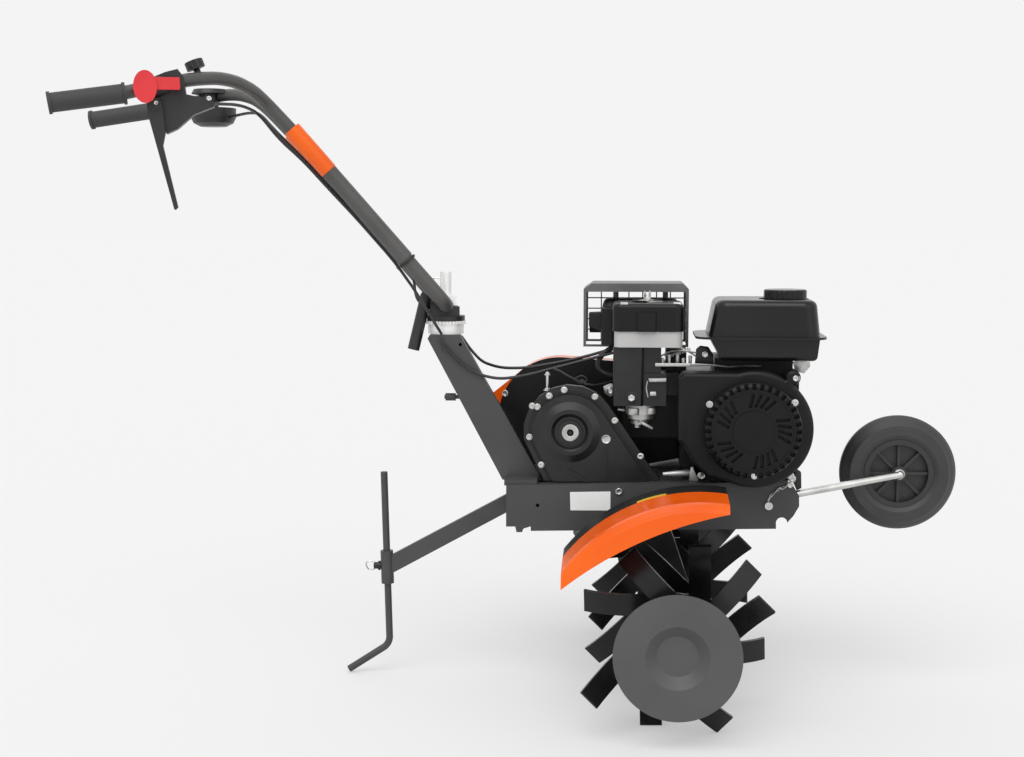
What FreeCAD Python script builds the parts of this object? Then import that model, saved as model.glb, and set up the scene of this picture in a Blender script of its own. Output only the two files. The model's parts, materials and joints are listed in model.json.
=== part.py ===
import FreeCAD, Part
import math
import os

os.makedirs("parts", exist_ok=True)

V = FreeCAD.Vector

# Rotary tiller in millimetres, +Z up, +X forwards, +Y to the machine's left.
# Lengths and heights are from the frame's own datum, which is floor_drop above the
# floor and rotor_x behind the rotor's axis. The whole machine is moved to the
# middle of its own box, on the floor, just before it is stored.

floor_drop = 10.0

# ---- rotor ----
rotor_x = 3.5
tine_reach = 155.0
middle_reach = 150.0
middle_turn = 1.5
tine_offset = 42.0
tine_width = 36.0
tine_thick = 8.0
tine_lean = 38.0
tine_straight = 55.0
set_inner = 143.0
set_middle = 226.0
set_outer = 324.0
hub_radius = 17.0
shaft_radius = 12.5
disc_radius = 100.5
disc_gap = 31.0
disc_dish = 13.0
disc_thick = 3.0

# ---- frame ----
frame_back = -286.5
frame_front = 217.0
frame_low = 277.0
frame_top = 358.0
frame_half = 95.0
frame_slope = 1.4
sheet = 4.0
flange = 26.0
pivot_x = 165.8
pivot_z = 327.3
bolt_radius = 4.5
side_hole = 3.2

# ---- column and steering head ----
post_x = -402.0
column_half = 40.0
column_wall = 3.5
ring_radius = 32.0
column_skew = 10.0
ring_low = 614.0
ring_height = 23.0
bar_turn = 12.8
bar_back = 2.0
bar_z = 664.0
post_top = 724.0

# ---- handlebar ----
bar_slope = 49.0
lower_radius = 13.0
sleeve_radius = 14.3
upper_radius = 10.8
wall = 2.6
leg_half = 52.0
lower_end = 330.0
sleeve_start = 112.0
sleeve_end = 361.0
grip_half = 265.0
grip_radius = 15.2
grip_length = 118.0
grip_z = 998.0
grip_skew = 4.0

# ---- front wheel and ground spur ----
wheel_radius = 100.6
wheel_width = 45.0
wheel_x = 398.0
wheel_z = 373.0
rim_radius = 60.0
axle_radius = 6.0
arm_radius = 6.4
arm_in = 15.0
spur_x = -511.6
spur_lean = 1.44
spur_radius = 6.3
spur_top = 362.0
sleeve_low = 157.0
sleeve_high = 217.0

# ---- transmission ----
hub_x = -176.5
hub_z = 448.5
case_radius = 82.0
case_near = -75.0
case_far = -10.0
cover_thick = 8.0
chain_half = 18.0

# ---- engine ----
crank_x = 131.0
crank_z = 467.5
scroll_radius = 99.0
block_near = -110.0
block_far = 130.0
housing_near = -150.0
recoil_near = -185.0
recoil_radius = 81.0
tank_wall = 1.6
guard_near = 20.0
guard_far = 145.0

# ---- fenders ----
fender_x = 41.3
fender_z = 111.2
crown_radius = 274.0
fender_sheet = 3.0
fender_inside = 312.0
fender_outside = 386.0

run_gap = 0.3
pin_gap = 0.05

# The rotor rests on two tine corners at once: that settles its turn and its height.
outer_edge = tine_offset + tine_width / 2
inner_edge = tine_offset - tine_width / 2
middle_lean = math.radians(middle_turn)
stand_height = middle_reach * math.cos(middle_lean) + outer_edge * math.sin(middle_lean)
corner_reach = math.hypot(tine_reach, outer_edge)
corner_angle = math.degrees(math.atan2(outer_edge, tine_reach))
rest_turn = 45 - corner_angle - math.degrees(math.acos(stand_height / corner_reach))
axle_z = stand_height - floor_drop

disc_out = set_outer + tine_lean + tine_thick / 2 + disc_gap
ring_top = ring_low + ring_height
plate_in = frame_half - sheet

shapes = {}


# ---------------- helpers ----------------
def box(x0, x1, y0, y1, z0, z1):
    return Part.makeBox(x1 - x0, y1 - y0, z1 - z0, V(x0, y0, z0))


def rod(start, end, radius):
    line = end.sub(start)
    return Part.makeCylinder(radius, line.Length, start, line)


def across(x, z, radius, y0, y1):
    return Part.makeCylinder(radius, y1 - y0, V(x, y0, z), V(0, 1, 0))


def upright(x, y, radius, z0, z1):
    return Part.makeCylinder(radius, z1 - z0, V(x, y, z0), V(0, 0, 1))


def plate(points, y0, y1):
    corners = [V(x, y0, z) for x, z in points]
    face = Part.Face(Part.makePolygon(corners + [corners[0]]))
    return face.extrude(V(0, y1 - y0, 0))


def skewed(near, far, y0, y1):
    # A plate whose far outline differs from its near one.
    wires = []
    for points, y in ((near, y0), (far, y1)):
        corners = [V(x, y, z) for x, z in points]
        wires.append(Part.makePolygon(corners + [corners[0]]))
    return Part.makeLoft(wires, True, True)


def fuse(pieces):
    whole = pieces[0].multiFuse(pieces[1:]) if len(pieces) > 1 else pieces[0]
    return whole.removeSplitter()


def mirrored(shape):
    return shape.mirror(V(0, 0, 0), V(0, 1, 0))


def rounded(shape, radius, pick):
    chosen = [edge for edge in shape.Edges if pick(edge)]
    return shape.makeFillet(radius, chosen)


def stands(edge):
    start, end = edge.Vertexes[0].Point, edge.Vertexes[-1].Point
    return abs(start.x - end.x) < 0.01 and abs(start.y - end.y) < 0.01


def lies_at(height):
    def pick(edge):
        return all(abs(vertex.Point.z - height) < 0.01 for vertex in edge.Vertexes)
    return pick


def faces_side(y):
    def pick(edge):
        return all(abs(vertex.Point.y - y) < 0.01 for vertex in edge.Vertexes)
    return pick


def route(points, bend=None):
    # Straight runs joined by arcs. With no bend given, each arc is as large as its runs allow.
    edges = []
    start = points[0]
    for before, corner, after in zip(points[:-2], points[1:-1], points[2:]):
        arrive = corner.sub(before)
        leave = after.sub(corner)
        arrive_length, leave_length = arrive.Length, leave.Length
        arrive.normalize()
        leave.normalize()
        turn = math.acos(max(-1.0, min(1.0, arrive.dot(leave))))
        if turn < 0.01:
            continue
        shorter = min(arrive_length, leave_length)
        radius = bend if bend else 0.45 * shorter / math.tan(turn / 2)
        back = radius * math.tan(turn / 2)
        begin = corner.sub(V(arrive).multiply(back))
        finish = corner.add(V(leave).multiply(back))
        inward = V(leave).sub(arrive)
        inward.normalize()
        apex = corner.add(inward.multiply(radius / math.cos(turn / 2) - radius))
        if begin.sub(start).Length > 0.01:
            edges.append(Part.LineSegment(start, begin).toShape())
        edges.append(Part.Arc(begin, apex, finish).toShape())
        start = finish
    if points[-1].sub(start).Length > 0.01:
        edges.append(Part.LineSegment(start, points[-1]).toShape())
    return Part.Wire(edges)


def piped(points, radius, bend=None):
    path = route(points, bend)
    ring = Part.Wire(Part.makeCircle(radius, points[0], points[1].sub(points[0])))
    return path.makePipeShell([ring], True, False)


def tube(points, radius, thickness, bend):
    return piped(points, radius, bend).cut(piped(points, radius - thickness, bend))


# ---------------- rotor ----------------
def tine(side, reach):
    # A flat bar: straight by the hub, then bent sideways in one smooth arc.
    span = reach - tine_straight
    swing = 2 * math.atan2(tine_lean, span)
    bend = span / math.sin(swing)
    half = tine_thick / 2

    def arc_point(angle, offset):
        radius = bend + offset
        return V(tine_straight + radius * math.sin(angle), side * (bend - radius * math.cos(angle)), 0)

    near = [arc_point(swing * share, -half) for share in (0, 0.5, 1)]
    far = [arc_point(swing * share, half) for share in (0, 0.5, 1)]
    root_near = V(-inner_edge, near[0].y, 0)
    root_far = V(-inner_edge, far[0].y, 0)
    edges = [
        Part.makeLine(root_near, near[0]),
        Part.Arc(near[0], near[1], near[2]).toShape(),
        Part.makeLine(near[2], far[2]),
        Part.Arc(far[2], far[1], far[0]).toShape(),
        Part.makeLine(far[0], root_far),
        Part.makeLine(root_far, root_near),
    ]
    bar = Part.Face(Part.Wire(edges)).extrude(V(0, 0, tine_width))
    bar.translate(V(0, 0, -outer_edge))
    room = reach + 60
    return bar.common(box(-room, reach, -room, room, -room, room))


def tine_set(y, first_angle, outward, reach):
    pieces = [across(0, 0, outer_edge + 2, y - tine_thick / 2, y + tine_thick / 2)]
    for step in range(4):
        side = outward if step % 2 == 0 else -outward
        blade = tine(side, reach)
        blade.rotate(V(0, 0, 0), V(0, 1, 0), -(first_angle + 90 * step))
        blade.translate(V(0, y, 0))
        pieces.append(blade)
    pieces.append(across(0, 0, hub_radius + 5, y - 16, y + 16))
    return fuse(pieces).cut(across(0, 0, hub_radius, y - 20, y + 20))


def disc():
    back = disc_out - disc_thick
    profile = [
        V(0, disc_out - disc_dish, 0),
        V(disc_radius * 0.32, disc_out - disc_dish, 0),
        V(disc_radius * 0.50, disc_out, 0),
        V(disc_radius, disc_out, 0),
        V(disc_radius, back, 0),
        V(disc_radius * 0.515, back, 0),
        V(disc_radius * 0.335, back - disc_dish, 0),
        V(0, back - disc_dish, 0),
    ]
    face = Part.Face(Part.makePolygon(profile + [profile[0]]))
    return face.revolve(V(0, 0, 0), V(0, 1, 0), 360)


def settle(shape, turn=rest_turn):
    shape.rotate(V(0, 0, 0), V(0, 1, 0), turn)
    shape.translate(V(rotor_x, 0, axle_z))
    return shape


def make_rotor():
    shaft_end = disc_out - disc_dish - disc_thick
    pieces = [across(0, 0, shaft_radius, -shaft_end, shaft_end)]
    for side, name in ((-1, "right"), (1, "left")):
        shapes["tines_outer_" + name] = settle(tine_set(side * set_outer, 45, side, tine_reach))
        shapes["tines_middle_" + name] = settle(tine_set(side * set_middle, 90, side, middle_reach), -middle_turn)
        shapes["tines_inner_" + name] = settle(tine_set(side * set_inner, 135, side, tine_reach))
        plant_disc = disc() if side > 0 else mirrored(disc())
        shapes["disc_" + name] = settle(plant_disc)
        ends = sorted((side * (set_inner - 30), side * (set_outer + 30)))
        pieces.append(across(0, 0, hub_radius, ends[0], ends[1]))
    shapes["rotor_shaft"] = settle(fuse(pieces))


# ---------------- frame ----------------
def tilted(shape):
    # The frame rises slightly towards the front.
    shape.rotate(V(frame_back + 57, 0, frame_top), V(0, 1, 0), -frame_slope)
    return shape


def on_frame(x, z):
    slope = math.radians(frame_slope)
    along_frame, above = x - frame_back - 57, z - frame_top
    turned_x = along_frame * math.cos(slope) - above * math.sin(slope)
    return frame_back + 57 + turned_x, frame_top + along_frame * math.sin(slope) + above * math.cos(slope)


def below_deck():
    # Everything under the frame's top face.
    return tilted(box(frame_back - 60, frame_front + 60, -400, 400, frame_low - 40, frame_top))


def side_plate():
    points = [
        (frame_back - 2, frame_low + 8),
        (frame_back, frame_top),
        (frame_front - 27, frame_top),
        (frame_front - 9, frame_top - 8),
        (frame_front, frame_top - 24),
        (frame_front, frame_top - 42),
        (frame_front - 10, frame_low + 22),
        (frame_front - 20, frame_low + 11),
        (frame_front - 22, frame_low),
        (frame_back + 41, frame_low),
        (frame_back + 41, frame_low + 8),
        (frame_back + 28, frame_low + 4),
        (frame_back + 26, frame_low - 2),
        (frame_back + 16, frame_low - 2),
        (frame_back + 14, frame_low + 8),
    ]
    whole = plate(points, -frame_half, -plate_in)
    lip = box(frame_back, frame_front - 44, -plate_in, -frame_half + flange, frame_top - sheet, frame_top)
    whole = whole.fuse(lip)
    near, far = -frame_half - 2, -plate_in + 2
    whole = whole.cut(across(frame_front - 30, frame_low + 10, 9.7, near, far))
    whole = whole.cut(box(frame_front - 39.7, frame_front, near, far, frame_low - 5, frame_low + 10))
    whole = whole.cut(across(frame_back + 54, frame_low + 45, side_hole, near, far))
    return tilted(whole.removeSplitter())


def make_frame():
    shapes["frame_left"] = mirrored(side_plate())
    pin_hole = across(pivot_x, pivot_z, bolt_radius, -frame_half - 2, -plate_in + 2)
    shapes["frame_right"] = side_plate().cut(pin_hole)
    lip_in = frame_half - flange
    deck = [box(-20, frame_front - 42, -lip_in, lip_in, frame_top - 5, frame_top)]
    deck.append(box(40, 60, -plate_in, plate_in, frame_low + 25, frame_top - 5))
    deck.append(box(-20, 0, -plate_in, plate_in, frame_top - 12, frame_top - 5))
    shapes["engine_deck"] = tilted(fuse(deck))
    bridge = [box(frame_back + 4, frame_back + 60, -plate_in, plate_in, frame_low + 19, frame_low + 25)]
    bridge.append(box(frame_back + 4, frame_back + 8, -plate_in, plate_in, frame_low + 19, frame_top - 10))
    shapes["rear_bridge"] = tilted(fuse(bridge))
    foot_high = frame_top + 7
    near = [
        (frame_back - 11, frame_top - 1),
        (post_x - 28, ring_low - 7),
        (post_x - 24, ring_low),
        (post_x + 30, ring_low),
        (post_x + 35, ring_low - 10),
        (frame_back + 59, frame_top - 1),
    ]
    far = near[:3] + [(x - column_skew, z) for x, z in near[3:]]
    outer = skewed(near, far, -column_half, column_half)
    near_room = [
        (frame_back - 5, foot_high),
        (post_x - 22, ring_low - 6),
        (post_x + 28, ring_low - 6),
        (frame_back + 49, foot_high),
    ]
    far_room = near_room[:2] + [(x - column_skew, z) for x, z in near_room[2:]]
    hollow = skewed(near_room, far_room, -column_half + column_wall, column_half - column_wall)
    column = outer.cut(hollow)
    column = column.cut(across(post_x + 30, ring_low - 17, 3, -column_half - 1, -column_half + column_wall + 1))
    foot = box(frame_back - 4, frame_back + 53, -plate_in + 3, plate_in - 3, frame_top - 3, foot_high)
    seat = box(frame_back - 4, frame_back + 53, -lip_in, lip_in, frame_top - sheet, frame_top + 1)
    knob = rod(V(post_x - 3, 0, 499.5), V(post_x + 51, 0, 499.5), 3.5).cut(outer)
    knob = knob.fuse(rod(V(post_x - 1, 0, 499.5), V(post_x + 17, 0, 499.5), 6.8).cut(outer))
    whole = fuse([column, foot, seat, knob])
    shapes["column"] = whole.cut(shapes["frame_left"]).cut(shapes["frame_right"])
    shapes["clamp_ring"] = upright(post_x, 0, ring_radius, ring_low, ring_top)


# ---------------- transmission ----------------
def case_outline(grow):
    radius = case_radius + grow
    slope = math.radians(37)
    points = []
    for step in range(9):
        angle = slope + step * math.radians(19)
        points.append((hub_x + radius * math.cos(angle), hub_z + radius * math.sin(angle)))
    points.append((hub_x - 45 - grow, frame_top + 4))
    points.append((hub_x + 157 + grow * 1.2, frame_top + 4))
    return points


def make_transmission():
    body = plate(case_outline(-6), case_near + cover_thick, case_far)
    rim = plate(case_outline(0), case_near + cover_thick, case_near + cover_thick + 10)
    strut = box(hub_x + 60, hub_x + 120, case_far - 40, case_far, frame_top, frame_top + 6)
    under = below_deck()
    column_room = box(frame_back - 30, frame_back + 59, -plate_in, plate_in, frame_top - 3, frame_top + 7)
    shapes["gear_case"] = fuse([body, rim, strut]).cut(shapes["column"]).cut(column_room).cut(under)
    cover = plate(case_outline(0), case_near + 2, case_near + cover_thick)
    groove = plate(case_outline(-9), case_near + 1, case_near + 6).cut(plate(case_outline(-16), case_near, case_near + 7))
    cover = cover.cut(groove)
    raised = plate(case_outline(-16), case_near - 4, case_near + 2)
    dish = Part.makeCone(53, 40, 5, V(hub_x, case_near - 4, hub_z), V(0, -1, 0))
    dish = dish.cut(Part.makeCone(27, 33, 4.5, V(hub_x, case_near - 4.6, hub_z), V(0, -1, 0)))
    boss = across(hub_x, hub_z, 21.5, case_near - 12, case_near)
    nut = across(hub_x, hub_z, 14, case_near - 15, case_near - 12)
    ribs = [box(hub_x + 60, hub_x + 64, case_near - 7, case_near - 3, frame_top + 8, hub_z - 28)]
    slant = plate([(hub_x - 5, 381), (hub_x - 2, 385), (hub_x + 32, 364), (hub_x + 29, 360)], case_near - 7, case_near - 3)
    whole_cover = fuse([cover, raised, dish, boss, nut, slant] + ribs)
    shapes["case_cover"] = whole_cover.cut(column_room).cut(shapes["column"]).cut(under)
    foot = [(rotor_x + 40, axle_z), (rotor_x, axle_z - 40), (rotor_x - 40, axle_z)]
    chain = plate([(-120, frame_top), (-30, frame_top)] + foot, -chain_half, chain_half)
    chain = chain.fuse(across(rotor_x, axle_z, 42, -chain_half, chain_half))
    chain = chain.fuse(across(rotor_x, axle_z, 24, -60, 60))
    chain = chain.fuse(box(-118, -32, -chain_half, case_far, frame_top - 1, frame_top + 4))
    chain = chain.cut(tilted(box(-25, 2, -frame_half, frame_half, frame_top - 14, frame_top + 3)))
    chain = chain.cut(shapes["gear_case"])
    shapes["chain_case"] = chain.removeSplitter().cut(across(rotor_x, axle_z, shaft_radius + pin_gap, -70, 70))


def make_belt_guard():
    inside = block_far + 3
    outside = block_far + 48
    front_radius = 72.0
    back_radius = 114.5
    guard_x, guard_z = hub_x - 28, hub_z - 2.5

    def outline(shrink, y0, y1):
        back = across(guard_x, guard_z, back_radius - shrink, y0, y1)
        front = across(crank_x, crank_z, front_radius - shrink, y0, y1)
        span = math.hypot(crank_x - guard_x, crank_z - guard_z)
        tilt = math.atan2(crank_z - guard_z, crank_x - guard_x)
        turn = math.asin((back_radius - front_radius) / span)
        top = V(math.sin(turn - tilt), 0, math.cos(turn - tilt))
        low = V(math.sin(turn + tilt), 0, -math.cos(turn + tilt))
        corners = []
        for centre, radius, way in (
            (V(guard_x, y0, guard_z), back_radius - shrink, top),
            (V(crank_x, y0, crank_z), front_radius - shrink, top),
            (V(crank_x, y0, crank_z), front_radius - shrink, low),
            (V(guard_x, y0, guard_z), back_radius - shrink, low),
        ):
            corners.append(centre.add(V(way).multiply(radius)))
        band = Part.Face(Part.makePolygon(corners + [corners[0]])).extrude(V(0, y1 - y0, 0))
        return fuse([back, front, band])

    shell = outline(0, inside, outside).cut(outline(3, inside - 1, outside - 3))
    ear_points = [
        (guard_x - 131, guard_z + 42),
        (guard_x - 58, guard_z + 100),
        (guard_x - 40, guard_z + 92),
        (guard_x - 60, guard_z + 4),
        (guard_x - 124, guard_z + 4),
    ]
    ear = plate(ear_points, inside, inside + 3)
    shapes["belt_guard"] = shell.fuse(ear.cut(outline(0, inside - 1, inside + 4))).removeSplitter()
    backing = outline(0, block_far, inside)
    tab = box(-260, -60, plate_in, block_far + 3, frame_top - 1, frame_top + 9).cut(below_deck())
    backing = backing.fuse(tab).fuse(box(-260, -60, block_far - 1, block_far + 3, frame_top + 4, frame_top + 30))
    shapes["belt_backing"] = backing.removeSplitter()
    shapes["belt_pulley"] = fuse([
        across(hub_x, hub_z, 97, inside + 4, inside + 26),
        across(hub_x, hub_z, 16, case_far, inside + 4).cut(outline(0, block_far, inside)),
        across(hub_x, hub_z, 15.9, block_far - 1, inside + 4),
    ])
    shapes["belt_backing"] = shapes["belt_backing"].cut(across(hub_x, hub_z, 16, block_far - 2, inside + 1))


# ---------------- fenders ----------------
def swept_ring(profile, first, last):
    # The profile is (y, radius) pairs, turned about the fender's own centre line.
    corners = [V(radius, y, 0) for y, radius in profile]
    face = Part.Face(Part.makePolygon(corners + [corners[0]]))
    solid = face.revolve(V(0, 0, 0), V(0, -1, 0), last - first)
    solid.rotate(V(0, 0, 0), V(0, 1, 0), -first)
    solid.translate(V(fender_x, 0, fender_z))
    return solid


def make_fenders():
    first, last = 74.0, 153.0
    front, rear = 81.5, -178.5
    fall = 6.0
    edge = 14.0
    bow = 2.5
    outer = crown_radius + fender_sheet
    inner_skin = fender_outside - fender_sheet
    crown = swept_ring([
        (fender_inside, crown_radius),
        (fender_inside, outer),
        (fender_outside - edge - bow, outer - fall),
        (fender_outside - 0.55 * edge - bow, outer - fall - 0.16 * edge),
        (fender_outside - 0.16 * edge - bow, outer - fall - 0.55 * edge),
        (fender_outside - bow, outer - fall - edge),
        (fender_outside - 0.25 * bow, outer - fall - edge - 13),
        (fender_outside, outer - 50),
        (fender_outside - 0.25 * bow, outer - 66),
        (inner_skin - 0.25 * bow, outer - 66),
        (inner_skin, outer - 50),
        (inner_skin - 0.25 * bow, outer - fall - edge - 13),
        (inner_skin - bow, outer - fall - edge - 1),
        (fender_outside - edge - bow - 1, crown_radius - fall),
    ], first, last)
    # The skirt's lower edge is a flatter arc than the crown, and both ends are cut upright.
    low_edge = Part.Arc(V(front, 0, 366), V(-52, 0, 322.5), V(rear, 0, 243)).toShape()
    under = [
        low_edge,
        Part.makeLine(V(rear, 0, 243), V(rear, 0, 60)),
        Part.makeLine(V(rear, 0, 60), V(front, 0, 60)),
        Part.makeLine(V(front, 0, 60), V(front, 0, 366)),
    ]
    below = Part.Face(Part.Wire(under)).extrude(V(0, 60, 0))
    below.translate(V(0, fender_outside - 50, 0))
    ends = box(front, front + 120, 0, 500, 0, 600).fuse(box(rear - 200, rear, 0, 500, 0, 600))
    shell = crown.cut(below).cut(ends).removeSplitter()
    flat_from = 262.0
    top_radius = crown_radius + 5
    low_radius = 231.0
    inner = swept_ring([
        (fender_inside, crown_radius),
        (fender_inside + 12, crown_radius - 0.16 * 6),
        (fender_inside + 12, crown_radius - 4),
        (fender_inside, crown_radius - 3),
        (flat_from, top_radius - fender_sheet),
        (frame_half, low_radius - fender_sheet),
        (frame_half, low_radius),
        (flat_from, top_radius),
        (fender_inside, outer),
    ], first, last).cut(ends).cut(shell)
    for side, name in ((-1, "right"), (1, "left")):
        shapes["fender_" + name] = shell if side > 0 else mirrored(shell)
        shapes["fender_inner_" + name] = inner if side > 0 else mirrored(inner)


# ---------------- ground spur ----------------
def spur_point(z):
    # The spur's rod leans back slightly towards its top.
    return V(spur_x - (z - (sleeve_low + sleeve_high) / 2) * math.tan(math.radians(spur_lean)), 0, z)


def spur_run(radius, low, high):
    return rod(spur_point(low), spur_point(high), radius)


def make_spur():
    arm_points = [(frame_back - 2, 327), (frame_back - 2, 294), (spur_x + 8, 175), (spur_x + 4, 207)]
    arm = plate(arm_points, -6, 6)
    arm = arm.fuse(spur_run(11.5, sleeve_low, sleeve_high))
    arm = arm.fuse(box(frame_back - 3, frame_back + 4, -24, 24, frame_low + 11, frame_low + 52))
    arm = arm.cut(spur_run(spur_radius + run_gap, sleeve_low - 5, sleeve_high + 5))
    shapes["spur_arm"] = arm.removeSplitter().cut(shapes["rear_bridge"])
    path = [spur_point(spur_top), spur_point(44), V(spur_x - 71, -6, spur_radius - floor_drop)]
    shapes["spur_rod"] = piped(path, spur_radius, 24)


# ---------------- engine ----------------
def make_engine_block():
    base = box(20, 210, -plate_in + 12, plate_in - 12, frame_top, 390)
    crankcase = box(14, 212, block_near, block_far, 390, 551)
    cylinder = box(-86, 20, 0, 92, 430, 560)
    port = box(-70, -30, 52, 84, 555, 598)
    shelf = box(72, 206, -62, 60, 548, 578)
    bracket = box(-10, 26, 0, 70, 440, 588)
    sump = box(40, 170, -plate_in + 24, plate_in - 24, frame_top - 1, 525)
    corner = box(10, 60, block_near - 1, -50, frame_top - 10, 421)
    whole = fuse([base, crankcase, cylinder, port, shelf, bracket]).cut(sump).cut(corner)
    shapes["engine_block"] = whole.cut(below_deck())


def make_housing():
    low = crank_z - 31
    points = [
        (crank_x - 123, low + 9),
        (crank_x - 123, crank_z + 84),
        (crank_x - 115, crank_z + 93),
        (crank_x + 2, crank_z + 93),
        (crank_x + 2, crank_z - 98),
        (crank_x - 73, crank_z - 84),
        (crank_x - 97, crank_z - 62),
        (crank_x - 115, low),
    ]
    scroll = across(crank_x + 4, crank_z - 2, scroll_radius, housing_near, block_near)
    whole = plate(points, housing_near, block_near).fuse(scroll)
    ear = across(crank_x + 67, crank_z + 86, 13, housing_near, block_near)
    whole = fuse([whole, ear])
    shapes["blower_housing"] = rounded(whole, 7, faces_side(housing_near))


def make_recoil():
    cover = across(crank_x, crank_z, recoil_radius, recoil_near, housing_near)
    cover = rounded(cover, 9, faces_side(recoil_near))
    slots = []
    outer_in, outer_out = recoil_radius - 11, recoil_radius - 1.5
    for step in range(36):
        slot = box(outer_in, outer_out, recoil_near - 1, recoil_near + 12, -3.4, 3.4)
        slot.rotate(V(0, 0, 0), V(0, 1, 0), 10 * step)
        slots.append(slot)
    for group in range(5):
        for count in range(4):
            slot = box(40, 63, recoil_near - 1, recoil_near + 8, -2.8, 2.8)
            slot.rotate(V(50, 0, 0), V(0, 1, 0), 18)
            slot.rotate(V(0, 0, 0), V(0, 1, 0), 72 * group + 12 * count - 23)
            slots.append(slot)
    for slot in slots:
        slot.translate(V(crank_x, 0, crank_z))
    cover = cover.cut(Part.makeCompound(slots))
    disc_plate = across(crank_x, crank_z, 34, recoil_near - 3, recoil_near)
    rim = across(crank_x, crank_z, 69, recoil_near - 1.6, recoil_near).cut(
        across(crank_x, crank_z, 66, recoil_near - 3, recoil_near + 1))
    shapes["recoil_cover"] = fuse([cover, rim, disc_plate])


def make_tank():
    left, right, near, far = 59.5, 247.0, -120.0, 40.0
    low, rim, top = 578.0, 615.0, 681.0
    thick = 4.0
    cap_x, cap_y, cap_radius, cap_top = 191.5, near + 65, 36.5, 697.0

    def leans(edge):
        start, end = edge.Vertexes[0].Point, edge.Vertexes[-1].Point
        return abs(start.y - end.y) < 0.01 and abs(start.z - end.z) > 20

    body = plate([(left, rim + thick), (right, rim + thick), (right - 7, top), (left + 12.5, top)], near, far)
    upper = rounded(body, 24, leans)
    upper = rounded(upper, 13, lies_at(top))
    lower = plate([(left + 22.5, low), (right - 6.5, low), (right - 2, rim), (left + 2, rim)], near + 4, far - 4)
    lower = rounded(lower, 9, lies_at(low))
    lip = rounded(box(left - 22, right + 11, near - 9, far + 9, rim, rim + thick), 30, stands)
    recess = upright(cap_x, cap_y, cap_radius + 9, top - 9, top + 1)
    upper = upper.cut(recess)
    inner = box(left + 24, right - 20, near + 14, far - 14, rim + 1, top - 14)
    inner = inner.fuse(box(left + 32, right - 20, near + 14, far - 14, low + 4, rim + 2))
    filler = upright(cap_x, cap_y, 20, top - 20, top)
    shapes["fuel_tank"] = fuse([upper, lip, lower]).cut(inner.fuse(filler))
    cap = upright(cap_x, cap_y, cap_radius, top - 9, cap_top)
    cap = rounded(cap, 3, lies_at(cap_top))
    notches = []
    for step in range(24):
        notch = upright(cap_radius + 1.2, 0, 2.2, top - 4, cap_top + 1)
        notch.rotate(V(0, 0, 0), V(0, 0, 1), 15 * step)
        notch.translate(V(cap_x, cap_y, 0))
        notches.append(notch)
    shapes["tank_cap"] = cap.cut(Part.makeCompound(notches))


def make_intake():
    cover = rounded(box(-104, 18, -105, 12, 626, 674), 16, stands)
    cover = rounded(cover, 8, lies_at(674))
    bulge = rounded(box(-63, -29, -109, -60, 626, 659), 5, stands)
    side_box = rounded(box(-124, -100, -52, 6, 599, 662), 6, stands)
    base = rounded(box(-101, 16, -102, 9, 599, 626), 13, stands)
    pieces = [cover, bulge, side_box.cut(base), upright(-45, -48, 26, 673, 677)]
    shapes["air_cleaner"] = fuse(pieces)
    shapes["air_cleaner_base"] = base
    elbow = rounded(box(-102.5, -50, -94, -14, 497, 599), 8, stands)
    body = box(-50, -11, -86, -14, 497, 553)
    neck = box(-50, -20, -80, -20, 553, 599)
    spacer = box(-86, 12, -20, 0, 508, 548)
    shapes["intake_box"] = fuse([elbow, body, neck, spacer])
    bowl = upright(-53, -54, 28, 480, 497).fuse(upright(-53, -54, 24, 472, 480))
    lower = upright(-55, -54, 16, 462, 472)
    drain = upright(-60, -54, 6, 455, 462)
    shapes["carburettor"] = fuse([bowl, lower, drain])


def make_muffler():
    low, top = 598.0, 674.0
    body = rounded(box(-124, 15, 40, 130, low, top), 14, lambda edge: stands(edge) or lies_at(top)(edge))
    outlet = rod(V(-120, 66, 629), V(-147, 66, 629), 17)
    hollow = box(-114, 5, 50, 120, low + 6, top - 6).fuse(rod(V(-110, 66, 629), V(-148, 66, 629), 14))
    shapes["muffler"] = fuse([body, outlet]).cut(hollow)
    left, right, base, high = -157.0, 30.0, 590.0, 693.0
    skin = 2.2
    cage = box(left, right, guard_near, guard_far, base, high)
    cage = cage.cut(box(left + skin, right - skin, guard_near + skin, guard_far - skin, base - 1, high + 1))
    cage = cage.cut(box(left + 5, right - 5, guard_near - 1, guard_near + 4, base + 4, high + 1))
    windows = []
    for row in range(5):
        z0 = base + 4 + row * 19.6
        for column in range(7):
            x0 = left + 5 + column * 25.6
            windows.append(box(x0, x0 + 23.4, guard_far - 4, guard_far + 1, z0, z0 + 17.4))
        for column in range(4):
            y0 = guard_near + 6 + column * 29
            windows.append(box(left - 1, right + 1, y0, y0 + 26.4, z0, z0 + 17.4))
    cage = cage.cut(Part.makeCompound(windows))
    roof_points = [
        (left, high - 5),
        (left, high),
        (left + 15, high + 10),
        (right - 10, high + 10),
        (right, high),
        (right, high - 5),
    ]
    roof = plate(roof_points, guard_near, guard_far)
    roof = roof.cut(box(left + 16, right - 12, guard_near + 4, guard_far - 4, high - 6, high + 7))
    legs = [upright(x, 85, 5, top, high + 8) for x in (-100, -10)]
    shapes["muffler_guard"] = fuse([cage, roof] + legs)


# ---------------- steering head ----------------
def turned(shape):
    shape.rotate(V(post_x, 0, 0), V(0, 0, 1), bar_turn)
    return shape


def local(back, left, z):
    return V(post_x - back, left, z)


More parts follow.
